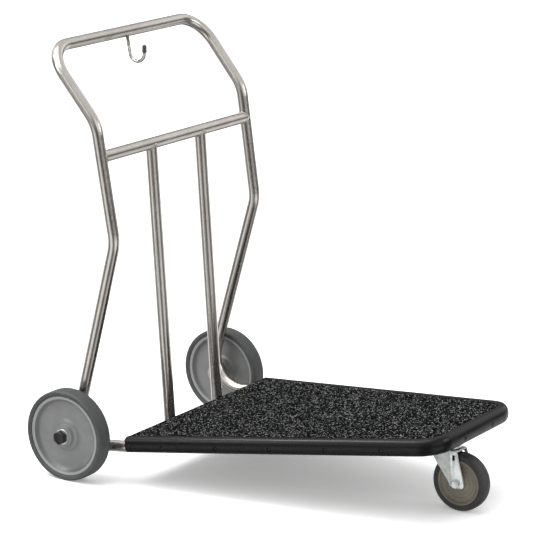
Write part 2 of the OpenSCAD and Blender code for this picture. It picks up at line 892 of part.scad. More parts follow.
// Steel tube clamped between the fork legs, on which the wheel bush turns.
module caster_spacer_tube() {
    color("silver") on_caster_axle() linear_extrude(fork_gap, center = true)
        bar_section(spacer_r, caster_axle_r + running);
}

module caster_wheel_hub() {
    color("rosybrown") on_caster_axle()
        hub_shape(caster_rim_r, caster_w / 2 - 1, caster_rim_r - 4, caster_w / 2 - 6,
            26, 17, hub_half, caster_bore_r + 4);
}

module caster_wheel_tyre() {
    color("#333333") on_caster_axle()
        tyre_shape(caster_r, caster_tyre_t, caster_w, caster_w - 2);
}

module caster_wheel_bush() {
    color("ivory") on_caster_axle() linear_extrude(2 * hub_half, center = true)
        bar_section(caster_bore_r + 4, caster_bore_r);
}

handle_hoop();
left_side_tube();
right_side_tube();
crossbar();
left_upright();
right_upright();
rear_cross_member();
deck_hoop();
middle_cross_tube();
caster_channel();
bag_hook();
hook_tip();
deck_board();
deck_carpet();
deck_bumper();
bumper_screws();
deck_screws();
left_stub_axle();
right_stub_axle();
inner_axle_washers();
outer_axle_washers();
axle_nuts();
axle_caps();
left_wheel_hub();
left_wheel_tyre();
left_wheel_bushes();
right_wheel_hub();
right_wheel_tyre();
right_wheel_bushes();
caster_top_plate();
caster_bolts();
caster_bolt_nuts();
swivel_balls();
caster_kingpin();
kingpin_nut();
caster_fork();
caster_axle_bolt();
caster_axle_nut();
caster_spacer_tube();
caster_side_washers();
caster_wheel_hub();
caster_wheel_tyre();
caster_wheel_bush();
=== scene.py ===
"""Looks of a hotel luggage cart: brushed tube frame, carpeted deck, wheels and caster.

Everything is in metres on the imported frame: +X forwards, +Y to the left, +Z up, with the
origin on the floor in the middle of the footprint.
"""

import json
import logging
import math
from dataclasses import dataclass, field
from enum import Enum

import bpy
from mathutils import Matrix, Vector

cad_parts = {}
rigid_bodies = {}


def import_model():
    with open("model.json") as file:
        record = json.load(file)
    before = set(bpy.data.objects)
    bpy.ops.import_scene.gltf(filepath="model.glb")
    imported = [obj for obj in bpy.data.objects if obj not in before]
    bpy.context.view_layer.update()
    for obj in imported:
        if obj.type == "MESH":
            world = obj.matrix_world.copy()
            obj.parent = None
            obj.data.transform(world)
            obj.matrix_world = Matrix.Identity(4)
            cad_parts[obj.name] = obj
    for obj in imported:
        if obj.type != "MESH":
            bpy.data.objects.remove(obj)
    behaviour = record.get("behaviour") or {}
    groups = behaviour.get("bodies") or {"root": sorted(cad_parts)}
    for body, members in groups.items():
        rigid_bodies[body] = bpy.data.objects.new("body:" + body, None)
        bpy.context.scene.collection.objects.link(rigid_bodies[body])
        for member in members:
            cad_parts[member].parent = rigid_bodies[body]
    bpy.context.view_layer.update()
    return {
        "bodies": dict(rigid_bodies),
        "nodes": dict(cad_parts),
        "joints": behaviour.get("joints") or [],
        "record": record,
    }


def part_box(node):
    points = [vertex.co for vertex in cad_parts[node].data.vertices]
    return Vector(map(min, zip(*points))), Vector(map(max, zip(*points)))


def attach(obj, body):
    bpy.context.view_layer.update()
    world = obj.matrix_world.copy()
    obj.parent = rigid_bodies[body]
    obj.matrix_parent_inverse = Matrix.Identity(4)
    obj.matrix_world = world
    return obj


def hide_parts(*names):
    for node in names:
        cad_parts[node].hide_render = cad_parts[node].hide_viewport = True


LOG = logging.getLogger("luggage_cart")
MM = 0.001
Point = tuple[float, float, float]
Colour = tuple[float, float, float]
Profile = list[tuple[float, float]]
SAME_SPOT = 0.01 * MM


class Run(Enum):
    """Direction in which a brushed or drawn surface runs."""

    ALONG_X = (0.06, 1.0, 1.0)
    ALONG_Y = (1.0, 0.06, 1.0)
    ALONG_Z = (1.0, 1.0, 0.06)
    ALL_WAYS = (1.0, 1.0, 1.0)


class Side(Enum):
    """Side of the cart, as the sign of Y."""

    LEFT = 1
    RIGHT = -1


# ---------------------------------------------------------------- node tools


class Link:
    """Output of a shader node that can take part in sums."""

    def __init__(self, board: "Board", socket: bpy.types.NodeSocket) -> None:
        """Wrap a socket.

        Args:
            board: Node board the socket belongs to.
            socket: Output socket to wrap.
        """
        self.board = board
        self.socket = socket

    def _sum(self, operation: str, first: "Link | float", second: "Link | float") -> "Link":
        """Add a Math node.

        Args:
            operation: Name of the Math operation.
            first: Left-hand value.
            second: Right-hand value.

        Returns:
            The result of the operation.
        """
        return self.board.node("ShaderNodeMath", {"operation": operation}, {0: first, 1: second})

    def __add__(self, other: "Link | float") -> "Link":
        """Sum with another value."""
        return self._sum("ADD", self, other)

    __radd__ = __add__

    def __sub__(self, other: "Link | float") -> "Link":
        """Difference from another value."""
        return self._sum("SUBTRACT", self, other)

    def __rsub__(self, other: float) -> "Link":
        """Difference of a number from this value."""
        return self._sum("SUBTRACT", other, self)

    def __mul__(self, other: "Link | float") -> "Link":
        """Product with another value."""
        return self._sum("MULTIPLY", self, other)

    __rmul__ = __mul__

    def __gt__(self, other: "Link | float") -> "Link":
        """Mask of one where this value is the greater."""
        return self._sum("GREATER_THAN", self, other)

    def power(self, exponent: float) -> "Link":
        """Raise this value to a power."""
        return self._sum("POWER", self, exponent)

    def ramp(self, low: float, high: float, start: float = 0.0, stop: float = 1.0) -> "Link":
        """Smoothly map the range low to high onto start to stop.

        Args:
            low: Value at which the result is start.
            high: Value at which the result is stop.
            start: Result at and below low.
            stop: Result at and above high.

        Returns:
            The mapped value.
        """
        return self.board.node(
            "ShaderNodeMapRange",
            {"interpolation_type": "SMOOTHSTEP"},
            {"Value": self, "From Min": low, "From Max": high, "To Min": start, "To Max": stop},
        )


class Board:
    """Node tree of one material or of the room, with the tools that lay out its nodes."""

    def __init__(self, name: str, room: bpy.types.World | None = None) -> None:
        """Empty the node tree of a new material, or of the room.

        Args:
            name: Name of the material.
            room: World whose tree is laid out instead of a material's.
        """
        self.material = room or bpy.data.materials.new(name)
        self.material.use_nodes = True
        self.tree = self.material.node_tree
        self.tree.nodes.clear()

    def node(
        self,
        kind: str,
        settings: dict[str, object] | None = None,
        inputs: dict[str | int, object] | None = None,
        output: str | int = 0,
    ) -> Link:
        """Add a node of any kind.

        Args:
            kind: Blender's identifier of the node type.
            settings: Properties of the node, set before its sockets.
            inputs: Values or links, by socket name or number.
            output: Which output is wanted.

        Returns:
            The wanted output.
        """
        made = self.tree.nodes.new(kind)
        for key, value in (settings or {}).items():
            setattr(made, key, value)
        for key, value in (inputs or {}).items():
            if isinstance(value, Link):
                self.tree.links.new(value.socket, made.inputs[key])
            else:
                made.inputs[key].default_value = value
        return Link(self, made.outputs[output])

    def place(self, stretch: Point = (1.0, 1.0, 1.0), turn: Point = (0.0, 0.0, 0.0)) -> Link:
        """Object coordinates, stretched and turned.

        Args:
            stretch: Factor along each axis.
            turn: Turn about each axis in radians.

        Returns:
            The coordinates.
        """
        where = self.node("ShaderNodeTexCoord", output="Object")
        return self.node(
            "ShaderNodeMapping", {}, {"Vector": where, "Scale": stretch, "Rotation": turn}
        )

    def coordinate(self, axis: str) -> Link:
        """One of the object coordinates.

        Args:
            axis: Name of the axis, X, Y or Z.

        Returns:
            The coordinate in metres.
        """
        where = self.node("ShaderNodeTexCoord", output="Object")
        return self.node("ShaderNodeSeparateXYZ", {}, {0: where}, axis)

    def noise(self, where: Link, scale: float, detail: float = 3.0, rough: float = 0.5) -> Link:
        """Cloudy noise from zero to one.

        Args:
            where: Coordinates.
            scale: Lumps for each metre.
            detail: Octaves of finer noise.
            rough: Strength of the finer noise.

        Returns:
            The noise value.
        """
        return self.node(
            "ShaderNodeTexNoise",
            {"noise_dimensions": "3D"},
            {"Vector": where, "Scale": scale, "Detail": detail, "Roughness": rough},
            "Fac",
        )

    def cells(self, where: Link, scale: float, feature: str, output: str) -> Link:
        """Cell pattern.

        Args:
            where: Coordinates.
            scale: Cells for each metre.
            feature: Voronoi feature, such as F1.
            output: Wanted output, Distance or Color.

        Returns:
            The wanted output.
        """
        return self.node(
            "ShaderNodeTexVoronoi",
            {"feature": feature},
            {"Vector": where, "Scale": scale},
            output,
        )

    def blend(self, share: Link | float, first: Link | Colour, second: Link | Colour) -> Link:
        """Blend two colours.

        Args:
            share: Share of the second colour.
            first: First colour.
            second: Second colour.

        Returns:
            The blended colour.
        """
        first = first if isinstance(first, Link) else (*first, 1.0)
        second = second if isinstance(second, Link) else (*second, 1.0)
        return self.node(
            "ShaderNodeMix", {"data_type": "RGBA"}, {0: share, 6: first, 7: second}, 2
        )

    def relief(self, height: Link, depth: float, strength: float = 1.0) -> Link:
        """Bump from a height.

        Args:
            height: Height from zero to one.
            depth: Depth of the relief in metres.
            strength: Strength of the effect.

        Returns:
            The bumped normal.
        """
        return self.node(
            "ShaderNodeBump", {}, {"Height": height, "Distance": depth, "Strength": strength}
        )

    def finish(self, **sockets: object) -> bpy.types.Material:
        """Close the tree with one shader.

        Args:
            **sockets: Shader inputs, with underscores for blanks.

        Returns:
            The finished material.
        """
        named = {key.replace("_", " "): value for key, value in sockets.items()}
        shader = self.node("ShaderNodeBsdfPrincipled", {}, named)
        sheet = self.tree.nodes.new("ShaderNodeOutputMaterial")
        self.tree.links.new(shader.socket, sheet.inputs["Surface"])
        return self.material


# ---------------------------------------------------------------- finishes


@dataclass(frozen=True)
class BrushedSteel:
    """Stainless tube, brushed along its length."""

    name: str
    run: Run = Run.ALONG_Z
    light: Colour = (0.69, 0.655, 0.615)
    dark: Colour = (0.50, 0.47, 0.435)
    rough: float = 0.17
    bar_half: float = 0.0
    bar_fade: float = 30 * MM
    streaks: float = 900.0
    scratches: float = 2600.0

    def lines(self, board: Board, scale: float, detail: float) -> Link:
        """Fine lines along the tube.

        Args:
            board: Material's node tree.
            scale: Lines for each metre across the tube.
            detail: Octaves of finer noise.

        Returns:
            The lines, turned along Y where a bar crosses between two sides.
        """
        side = board.noise(board.place(self.run.value), scale, detail, 0.6)
        if not self.bar_half:
            return side
        bar = board.noise(board.place(Run.ALONG_Y.value), scale, detail, 0.6)
        reach = board.coordinate("Y").power(2.0)
        share = reach.ramp((self.bar_half - self.bar_fade) ** 2, self.bar_half**2)
        return side * share + bar * (share * -1.0 + 1.0)

    def make(self) -> bpy.types.Material:
        """Build the material."""
        board = Board(self.name)
        streak = self.lines(board, self.streaks, 3.0)
        scratch = self.lines(board, self.scratches, 2.0)
        smear = board.noise(board.place(), 14.0, 4.0, 0.6)
        tone = streak * 0.6 + smear * 0.4
        return board.finish(
            Base_Color=board.blend(tone.ramp(0.3, 0.72), self.dark, self.light),
            Metallic=1.0,
            Roughness=streak.ramp(0.3, 0.75, self.rough, self.rough + 0.08) + smear * 0.05,
            Normal=board.relief(streak * 0.5 + scratch * 0.5, 0.00006, 0.5),
        )


@dataclass(frozen=True)
class ZincPlate:
    """Bright zinc plating with a faint spangle and dulled patches."""

    name: str
    light: Colour = (0.84, 0.87, 0.86)
    dark: Colour = (0.66, 0.69, 0.69)
    rough: float = 0.26
    metal: float = 0.8

    def make(self) -> bpy.types.Material:
        """Build the material."""
        board = Board(self.name)
        where = board.place()
        cloud = board.noise(where, 70.0, 4.0, 0.6)
        grain = board.noise(where, 1400.0, 2.0)
        return board.finish(
            Base_Color=board.blend(cloud.ramp(0.35, 0.7), self.dark, self.light),
            Metallic=self.metal,
            Roughness=cloud.ramp(0.3, 0.8, self.rough, self.rough + 0.16),
            Normal=board.relief(grain * 0.7 + cloud * 0.3, 0.00005, 0.5),
        )


@dataclass(frozen=True)
class MouldedPlastic:
    """Moulded plastic with a fine grain and faint flow marks; on a wheel, a lighter rim ring and
    painted shade on the recess wall inside it.
    """

    name: str
    base: Colour
    shade: Colour
    rough: float = 0.42
    axle: tuple[float, float] | None = None
    ring: tuple[float, float] = (0.0, 0.0)

    def make(self) -> bpy.types.Material:
        """Build the material."""
        board = Board(self.name)
        where = board.place()
        flow = board.noise(where, 26.0, 4.0, 0.62)
        grain = board.noise(where, 2200.0, 2.0, 0.6)
        tone = board.blend(flow.ramp(0.32, 0.72), self.shade, self.base)
        if self.axle:
            tone = self.rim_ring_and_painted_shade(board, tone)
        return board.finish(
            Base_Color=tone,
            Roughness=flow.ramp(0.3, 0.75, self.rough - 0.05, self.rough + 0.1),
            Normal=board.relief(grain * 0.6 + flow * 0.4, 0.00008, 0.45),
        )

    def rim_ring_and_painted_shade(self, board: Board, tone: Link) -> Link:
        """Lighten the rim ring of a wheel and paint shade on the recess wall just inside it.

        Args:
            board: Material's node tree.
            tone: Plain colour.

        Returns:
            The colour with its lighter rim ring and painted shade.
        """
        along, up = board.coordinate("X") - self.axle[0], board.coordinate("Z") - self.axle[1]
        reach = (along.power(2.0) + up.power(2.0)).power(0.5)
        inner, outer = self.ring
        pale = tuple(min(part * 1.5, 1.0) for part in self.base)
        # dark is the colour of the painted shade on the recess wall
        dark = tuple(part * 0.5 for part in self.shade)
        # lighter rim ring from the inner radius outwards
        lighter_rim = reach.ramp(inner, inner + 1.2 * MM) * 0.75
        # painted shade: a dark band on the recess wall just inside the rim, where shade falls in the
        # dish
        corner = reach.ramp(inner - 9.0 * MM, inner - 2.5 * MM) * reach.ramp(inner, outer, 1.0, 0.0)
        return board.blend(lighter_rim, board.blend(corner * 0.55, tone, dark), pale)


@dataclass(frozen=True)
class TyreRubber:
    """Non-marking tyre rubber with scuffs."""

    name: str
    base: Colour
    worn: Colour
    rough: float = 0.58

    def make(self) -> bpy.types.Material:
        """Build the material."""
        board = Board(self.name)
        where = board.place()
        scuff = board.noise(where, 45.0, 5.0, 0.7)
        grain = board.noise(where, 1900.0, 3.0, 0.6)
        fine = board.noise(where, 320.0, 3.0, 0.6)
        tone = scuff * 0.7 + fine * 0.3
        return board.finish(
            Base_Color=board.blend(tone.ramp(0.42, 0.72), self.base, self.worn),
            Roughness=scuff.ramp(0.3, 0.7, self.rough - 0.06, self.rough + 0.12),
            Normal=board.relief(grain * 0.5 + fine * 0.5, 0.00014, 0.5),
        )


@dataclass(frozen=True)
class GlossRubber:
    """Glossy black extruded rubber, faintly rippled along its length."""

    name: str
    base: Colour = (0.0030, 0.0030, 0.0034)
    dusty: Colour = (0.010, 0.010, 0.011)
    rough: float = 0.2

    def make(self) -> bpy.types.Material:
        """Build the material."""
        board = Board(self.name)
        where = board.place()
        ripple = board.noise(where, 38.0, 3.0, 0.55)
        grain = board.noise(where, 1500.0, 2.0, 0.6)
        dust = board.noise(where, 260.0, 5.0, 0.75)
        return board.finish(
            Base_Color=board.blend(dust.ramp(0.55, 0.85), self.base, self.dusty),
            Roughness=ripple.ramp(0.3, 0.7, self.rough, self.rough + 0.1) + dust * 0.06,
            Specular_IOR_Level=0.24,
            Normal=board.relief(ripple * 0.7 + grain * 0.3, 0.00022, 0.4),
        )


@dataclass(frozen=True)
class CarpetPile:
    """Black looped carpet with pale flecks."""

    name: str
    ground: Colour = (0.0010, 0.0012, 0.0016)
    loop: Colour = (0.0065, 0.0070, 0.0082)
    fleck: Colour = (0.40, 0.41, 0.40)
    tufts: float = 430.0
    dim_tufts: float = 610.0

    def make(self) -> bpy.types.Material:
        """Build the material."""
        board = Board(self.name)
        where = board.place()
        patch = board.noise(where, 160.0, 2.0, 0.5)
        tuft = board.cells(where, self.tufts, "F1", "Distance")
        chance = board.cells(where, self.tufts, "F1", "Color")
        pick = board.node("ShaderNodeSeparateColor", {}, {0: chance}, "Red")
        chance = board.cells(where, self.dim_tufts, "F1", "Color")
        second = board.node("ShaderNodeSeparateColor", {}, {0: chance}, "Green")
        yarn = board.noise(where, 2600.0, 2.0, 0.6)
        pale = (pick + patch * 0.55).ramp(1.08, 1.2)
        dim = second.ramp(0.6, 0.95) * 0.42
        crown = tuft.ramp(0.0, 0.75, 1.0, 0.25)
        ground = board.blend(dim * crown, self.ground, self.loop)
        return board.finish(
            Base_Color=board.blend(pale * crown * 0.95, ground, self.fleck),
            Roughness=yarn.ramp(0.2, 0.8, 0.88, 0.98),
            Specular_IOR_Level=0.03,
            Normal=board.relief(crown * 0.7 + yarn * 0.3, 0.0012, 0.8),
        )


@dataclass(frozen=True)
class BareBoard:
    """Dark-faced plywood with its plies showing faintly on the cut edges."""

    name: str
    slope: float
    light: Colour = (0.075, 0.064, 0.054)
    dark: Colour = (0.045, 0.038, 0.032)
    glue_line: Colour = (0.025, 0.020, 0.016)
    two_plies: float = 4.2 * MM

    def make(self) -> bpy.types.Material:
        """Build the material."""
        board = Board(self.name)
        turned = board.place((1.0, 1.0, 1.0), (0.0, self.slope, 0.0))
        depth = board.node("ShaderNodeSeparateXYZ", {}, {0: turned}, "Z")
        turns = depth * (2 * math.pi / self.two_plies)
        ply = board.node("ShaderNodeMath", {"operation": "SINE"}, {0: turns})
        grain = board.noise(board.place((9.0, 160.0, 160.0)), 4.0, 4.0, 0.65)
        tone = board.blend(grain.ramp(0.3, 0.7), self.dark, self.light)
        return board.finish(
            Base_Color=board.blend(ply.ramp(-0.5, 0.6) * 0.45, tone, self.glue_line),
            Roughness=grain.ramp(0.2, 0.8, 0.62, 0.8),
            Normal=board.relief(grain * 0.6 + ply * 0.2, 0.0003, 0.6),
        )


@dataclass(frozen=True)
class FrameEnamel:
    """Grey enamel on the hidden frame parts, with a light orange-peel texture."""

    name: str
    base: Colour = (0.17, 0.175, 0.18)
    grimy: Colour = (0.10, 0.10, 0.10)

    def make(self) -> bpy.types.Material:
        """Build the material."""
        board = Board(self.name)
        where = board.place()
        peel = board.noise(where, 700.0, 2.0, 0.5)
        grime = board.noise(where, 22.0, 5.0, 0.65)
        return board.finish(
            Base_Color=board.blend(grime.ramp(0.4, 0.75), self.base, self.grimy),
            Roughness=grime.ramp(0.3, 0.7, 0.36, 0.52),
            Coat_Weight=0.15,
            Normal=board.relief(peel, 0.00008, 0.4),
        )


@dataclass(frozen=True)
class StudioFloor:
    """Plain pale floor that glows faintly."""

    name: str = "pale_floor"
    light: Colour = (0.92, 0.92, 0.92)
    dark: Colour = (0.90, 0.90, 0.90)
    glow: float = 0.26

    def make(self) -> bpy.types.Material:
        """Build the material."""
        board = Board(self.name)
        cloud = board.noise(board.place(), 0.6, 2.0)
        return board.finish(
            Base_Color=board.blend(cloud, self.dark, self.light),
            Roughness=0.9,
            Specular_IOR_Level=0.1,
            Emission_Color=(1.0, 1.0, 1.0, 1.0),
            Emission_Strength=self.glow,
        )


# ---------------------------------------------------------------- modelling tools


class Bench:
    """Edit-mode steps that all the pieces share."""

    @staticmethod
    def clear() -> None:
        """Leave edit mode and deselect everything."""
        if bpy.context.object and bpy.context.object.mode != "OBJECT":
            bpy.ops.object.mode_set(mode="OBJECT")
        bpy.ops.object.select_all(action="DESELECT")

    @staticmethod
    def pick(piece: bpy.types.Object) -> None:
        """Select one object and make it active.

        Args:
            piece: Object to select.
        """
        Bench.clear()
        piece.select_set(True)
        bpy.context.view_layer.objects.active = piece

    @staticmethod
    def start(name: str, at: Point) -> bpy.types.Object:
        """Start a piece from a single corner, and stay in edit mode.

        Args:
            name: Name of the piece.
            at: Place of the corner.

        Returns:
            The new object.
        """
        Bench.clear()
        bpy.ops.mesh.primitive_plane_add(size=MM, location=(0.0, 0.0, 0.0))
        piece = bpy.context.object
        piece.name = piece.data.name = name
        bpy.ops.object.mode_set(mode="EDIT")
        bpy.ops.mesh.select_all(action="SELECT")
        bpy.ops.mesh.merge(type="CENTER")
        bpy.ops.mesh.select_all(action="SELECT")
        bpy.ops.transform.translate(value=at)
        return piece

    @staticmethod
    def line(name: str, points: list[Point]) -> bpy.types.Object:
        """Draw a line by extruding a corner from point to point, and stay in edit mode.

        Args:
            name: Name of the piece.
            points: Points of the line.

        Returns:
            The new object, with only its last corner selected.
        """
        piece = Bench.start(name, points[0])
        for before, after in zip(points, points[1:]):
            step = Vector(after) - Vector(before)
            bpy.ops.mesh.extrude_region_move(TRANSFORM_OT_translate={"value": tuple(step)})
        return piece

    @staticmethod
    def loop(name: str, points: list[Point]) -> bpy.types.Object:
        """Draw a closed loop, and stay in edit mode with all of it selected.

        Args:
            name: Name of the piece.
            points: Points of the loop, each once.

        Returns:
            The new object.
        """
        piece = Bench.line(name, [*points, points[0]])
        bpy.ops.mesh.select_all(action="SELECT")
        bpy.ops.mesh.remove_doubles(threshold=SAME_SPOT)
        bpy.ops.mesh.select_all(action="SELECT")
        return piece

    @staticmethod
    def close() -> None:
        """Merge doubled corners, turn the faces outwards and leave edit mode."""
        bpy.ops.mesh.select_all(action="SELECT")
        bpy.ops.mesh.remove_doubles(threshold=2 * SAME_SPOT)
        bpy.ops.mesh.normals_make_consistent(inside=False)
        bpy.ops.object.mode_set(mode="OBJECT")

    @staticmethod
    def smooth(piece: bpy.types.Object, angle: float = 35.0) -> None:
        """Shade a piece smooth, with sharp edges above an angle.

        Args:
            piece: Object to shade.
            angle: Angle in degrees.
        """
        Bench.pick(piece)
        bpy.ops.object.shade_smooth_by_angle(angle=math.radians(angle))

    @staticmethod
    def turned(
        name: str, profile: Profile, centre: Point, steps: int
    ) -> bpy.types.Object:
        """Turn a closed profile about an axis along Y.

        Args:
            name: Name of the piece.
            profile: Radius and distance along the axis of each corner.
            centre: Middle of the piece on its axis.
            steps: Number of steps in the turn.

        Returns:
            The finished object.
        """
        ring = [(centre[0], centre[1] + along, centre[2] + radius) for radius, along in profile]
        piece = Bench.loop(name, ring)
        bpy.ops.mesh.spin(steps=steps, angle=2 * math.pi, center=centre, axis=(0.0, 1.0, 0.0))
        Bench.close()
        Bench.smooth(piece)
        return piece

    @staticmethod
    def finish_modifier(piece: bpy.types.Object, kind: str, **settings: object) -> None:
        """Add a modifier and apply it.

        Args:
            piece: Object to work on.
            kind: Type of the modifier.
            **settings: Properties of the modifier.
        """
        Bench.pick(piece)
        made = piece.modifiers.new("work", kind)
        for key, value in settings.items():
            setattr(made, key, value)
        bpy.ops.object.modifier_apply(modifier=made.name)

    @staticmethod
    def block(size: Point, at: Point, round_off: float, segments: int) -> bpy.types.Object:
        """Make a block with rounded edges.

        Args:
            size: Length along each axis.
            at: Middle of the block.
            round_off: Width of the rounded edges.
            segments: Faces across each rounded edge.

        Returns:
            The block.
        """
        Bench.clear()
        bpy.ops.mesh.primitive_cube_add(size=1.0, location=at)
        piece = bpy.context.object
        piece.scale = size
        Bench.settle(piece)
        Bench.finish_modifier(piece, "BEVEL", width=round_off, segments=segments, angle_limit=0.6)
        return piece

    @staticmethod
    def carve(piece: bpy.types.Object, cutter: bpy.types.Object) -> None:
        """Cut one object out of a piece, and remove the cutter.

        Args:
            piece: Object to cut.
            cutter: Shape that is cut out.
        """
        Bench.finish_modifier(piece, "BOOLEAN", operation="DIFFERENCE", object=cutter, solver="EXACT")
        bpy.data.objects.remove(cutter, do_unlink=True)

    @staticmethod
    def copy(piece: bpy.types.Object, name: str, place: Matrix) -> bpy.types.Object:
        """Copy a piece with a mesh of its own, and move the copy's mesh.

        Args:
            piece: Object to copy.
            name: Name of the copy.
            place: Move, turn or mirror of the copy.

        Returns:
            The copy.
        """
        Bench.pick(piece)
        bpy.ops.object.duplicate(linked=False)
        made = bpy.context.object
        made.name = made.data.name = name
        made.data.transform(place)
        if place.determinant() < 0:
            made.data.flip_normals()
        return made

    @staticmethod
    def join(parts: list[bpy.types.Object], name: str) -> bpy.types.Object:
        """Join objects into one piece.

        Args:
            parts: Objects to join.
            name: Name of the piece.

        Returns:
            The joined object.
        """
        Bench.pick(parts[0])
        for part in parts[1:]:
            part.select_set(True)
        bpy.ops.object.join()
        made = bpy.context.object
        made.name = made.data.name = name
        return made

    @staticmethod
    def settle(piece: bpy.types.Object) -> None:
        """Move an object's place and turn into its mesh.

        Args:
            piece: Object to settle at the origin.
        """
        Bench.pick(piece)
        bpy.ops.object.transform_apply(location=True, rotation=True, scale=True)


def in_mm(*corners: tuple[float, float]) -> Profile:
    """Corners of a profile given in millimetres, in metres."""
    return [(radius * MM, along * MM) for radius, along in corners]


def both_ways(half: Profile) -> Profile:
    """Add the mirrored half of a profile that starts at the bore and ends at the rim."""
    return half + [(radius, -along) for radius, along in reversed(half)]


def dress(piece: bpy.types.Object, material: bpy.types.Material) -> None:
    """Give a piece one material.

    Args:
        piece: Object to dress.
        material: Material to use.
    """
    piece.data.materials.clear()
    piece.data.materials.append(material)


def dress_nodes(frame: dict, names: list[str], material: bpy.types.Material) -> None:
    """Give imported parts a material, keeping their meshes.

    Args:
        names: Names of the parts.
        material: Material to use.
    """
    for name in names:
        node = frame["nodes"][name]
        if not node.material_slots:
            node.data.materials.append(material)
        for slot in node.material_slots:
            slot.material = material


def hand_over(piece: bpy.types.Object, body: str, slot: str, *stands_for: str) -> None:
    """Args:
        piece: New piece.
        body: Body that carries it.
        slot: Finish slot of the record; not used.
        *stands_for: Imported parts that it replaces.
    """
    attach(piece, body)
    if stands_for:
        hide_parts(*stands_for)
    LOG.info("%s: %d faces on %s", piece.name, len(piece.data.polygons), body)


# ---------------------------------------------------------------- sub-assemblies


@dataclass
class Layout:
    """Places that several sub-assemblies share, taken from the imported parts."""

    frame: dict
    slope: float = math.radians(7.2)
    rail_h: float = 69 * MM
    tube_r: float = 12.7 * MM
    axle_x: float = field(init=False)
    axle_z: float = field(init=False)

    def __post_init__(self) -> None:
        """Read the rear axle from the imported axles."""
        low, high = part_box("left_wheel_tyre")
        self.axle_x = (low[0] + high[0]) / 2
        self.axle_z = (low[2] + high[2]) / 2

    def deck_matrix(self) -> Matrix:
        """Matrix from deck coordinates to the cart's frame."""
        return Matrix.Translation((self.axle_x, 0.0, self.rail_h)) @ Matrix.Rotation(
            -self.slope, 4, "Y"
        )


@dataclass
class TubeFrame:
    """Bent tubes, uprights, crossbar and the weld beads between them."""

    layout: Layout
    bar_half: float = 240 * MM
    side_run: Point = (41.0, -4.5, -258.0)
    upright_run: Point = (41.0, 0.0, -627.0)
    bead_r: float = 1.7 * MM
    bead_lift: float = 0.3 * MM
    bead_lobes: int = 9
    bead_swell: float = 0.035
    bead_steps: int = 48
    bead_voxel: float = 0.45 * MM
    ripple: float = 0.7 * MM
    ripple_scale: float = 3 * MM

    def dress_tubes(self) -> None:
        """Give each tube a finish that runs along it."""
        frame = self.layout.frame
        dress_nodes(
            frame,
            ["left_side_tube", "right_side_tube", "left_upright", "right_upright"],
            BrushedSteel("brushed_steel_upright", Run.ALONG_Z).make(),
        )
        hoop = BrushedSteel("brushed_steel_hoop", Run.ALONG_Z, bar_half=self.bar_half)
        dress_nodes(frame, ["handle_hoop"], hoop.make())
        dress_nodes(frame, ["crossbar"], BrushedSteel("brushed_steel_cross", Run.ALONG_Y).make())
        dress_nodes(frame, ["deck_hoop"], BrushedSteel("brushed_steel_rail", Run.ALONG_X).make())
        enamel = FrameEnamel("grey_enamel").make()
        dress_nodes(frame, ["rear_cross_member", "middle_cross_tube", "caster_channel"], enamel)

    def bead(
        self, name: str, centre: Vector, along: Vector, across: Vector, tube_r: float
    ) -> bpy.types.Object:
        """Weld bead round the end of one tube where it meets another of the same size.

        Args:
            name: Name of the bead.
            centre: Point where the two centre lines meet.
            along: Direction from that point along the tube that ends there.
            across: Direction of the tube that runs through.
            tube_r: Radius of both tubes.

        Returns:
            The bead.
        """
        along, across = along.normalized(), across.normalized()
        third = along.cross(across).normalized()
        across = third.cross(along)
        points = []
        for i in range(self.bead_steps + 1):
            angle = 2 * math.pi * i / self.bead_steps
            side, up = tube_r * math.sin(angle), tube_r * math.cos(angle)
            reach = math.sqrt(max(tube_r**2 - side**2, 0.0)) + self.bead_lift
            swell = 1.0 + self.bead_swell * math.sin(self.bead_lobes * angle)
            spot = centre + along * reach + third * side * swell + across * up * swell
            points.append(tuple(spot))
        piece = Bench.line(name, points)
        Bench.close()
        Bench.pick(piece)
        bpy.ops.object.convert(target="CURVE")
        piece = bpy.context.object
        piece.data.bevel_depth = self.bead_r
        piece.data.bevel_resolution = 3
        bpy.ops.object.convert(target="MESH")
        piece = bpy.context.object
        piece.name = piece.data.name = name
        Bench.smooth(piece, 60.0)
        return piece

    def weld(self) -> None:
        """Lay the beads at both ends of the crossbar and at the heads of the uprights."""
        low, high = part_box("crossbar")
        bar = Vector(((low[0] + high[0]) / 2, 0.0, (low[2] + high[2]) / 2))
        tube_r = self.layout.tube_r
        end = high[1] - tube_r * 0.02
        beads = []
        for side in Side:
            s = side.value
            along, inward, down = self.side_run
            side_line = Vector((along, inward * s, down))
            joint = Vector((bar.x, s * (end + 0.4 * MM), bar.z))
            beads.append(self.bead("bead", joint, Vector((0.0, -s, 0.0)), side_line, tube_r))
            head_low, head_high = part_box(f"{side.name.lower()}_upright")
            head_y = (head_low[1] + head_high[1]) / 2
            head = Vector((bar.x, head_y, bar.z))
            lean = Vector(self.upright_run)
            beads.append(self.bead("bead", head, lean, Vector((0, 1, 0)), tube_r))
        piece = Bench.join(beads, "weld_beads")
        Bench.finish_modifier(piece, "REMESH", mode="VOXEL", voxel_size=self.bead_voxel)
        texture = bpy.data.textures.new("bead_ripple", "CLOUDS")
        texture.noise_scale = self.ripple_scale
        Bench.finish_modifier(
            piece, "DISPLACE", texture=texture, strength=self.ripple, mid_level=0.5,
            texture_coords="LOCAL",
        )
        bpy.ops.object.shade_smooth()
        dress(piece, ZincPlate("weld_metal", (0.62, 0.60, 0.57), (0.40, 0.36, 0.32), 0.3).make())
        hand_over(piece, "cart_frame", "stainless_tube")

    def build(self) -> None:
        """Dress the tubes and lay the welds."""
        self.dress_tubes()
        self.weld()


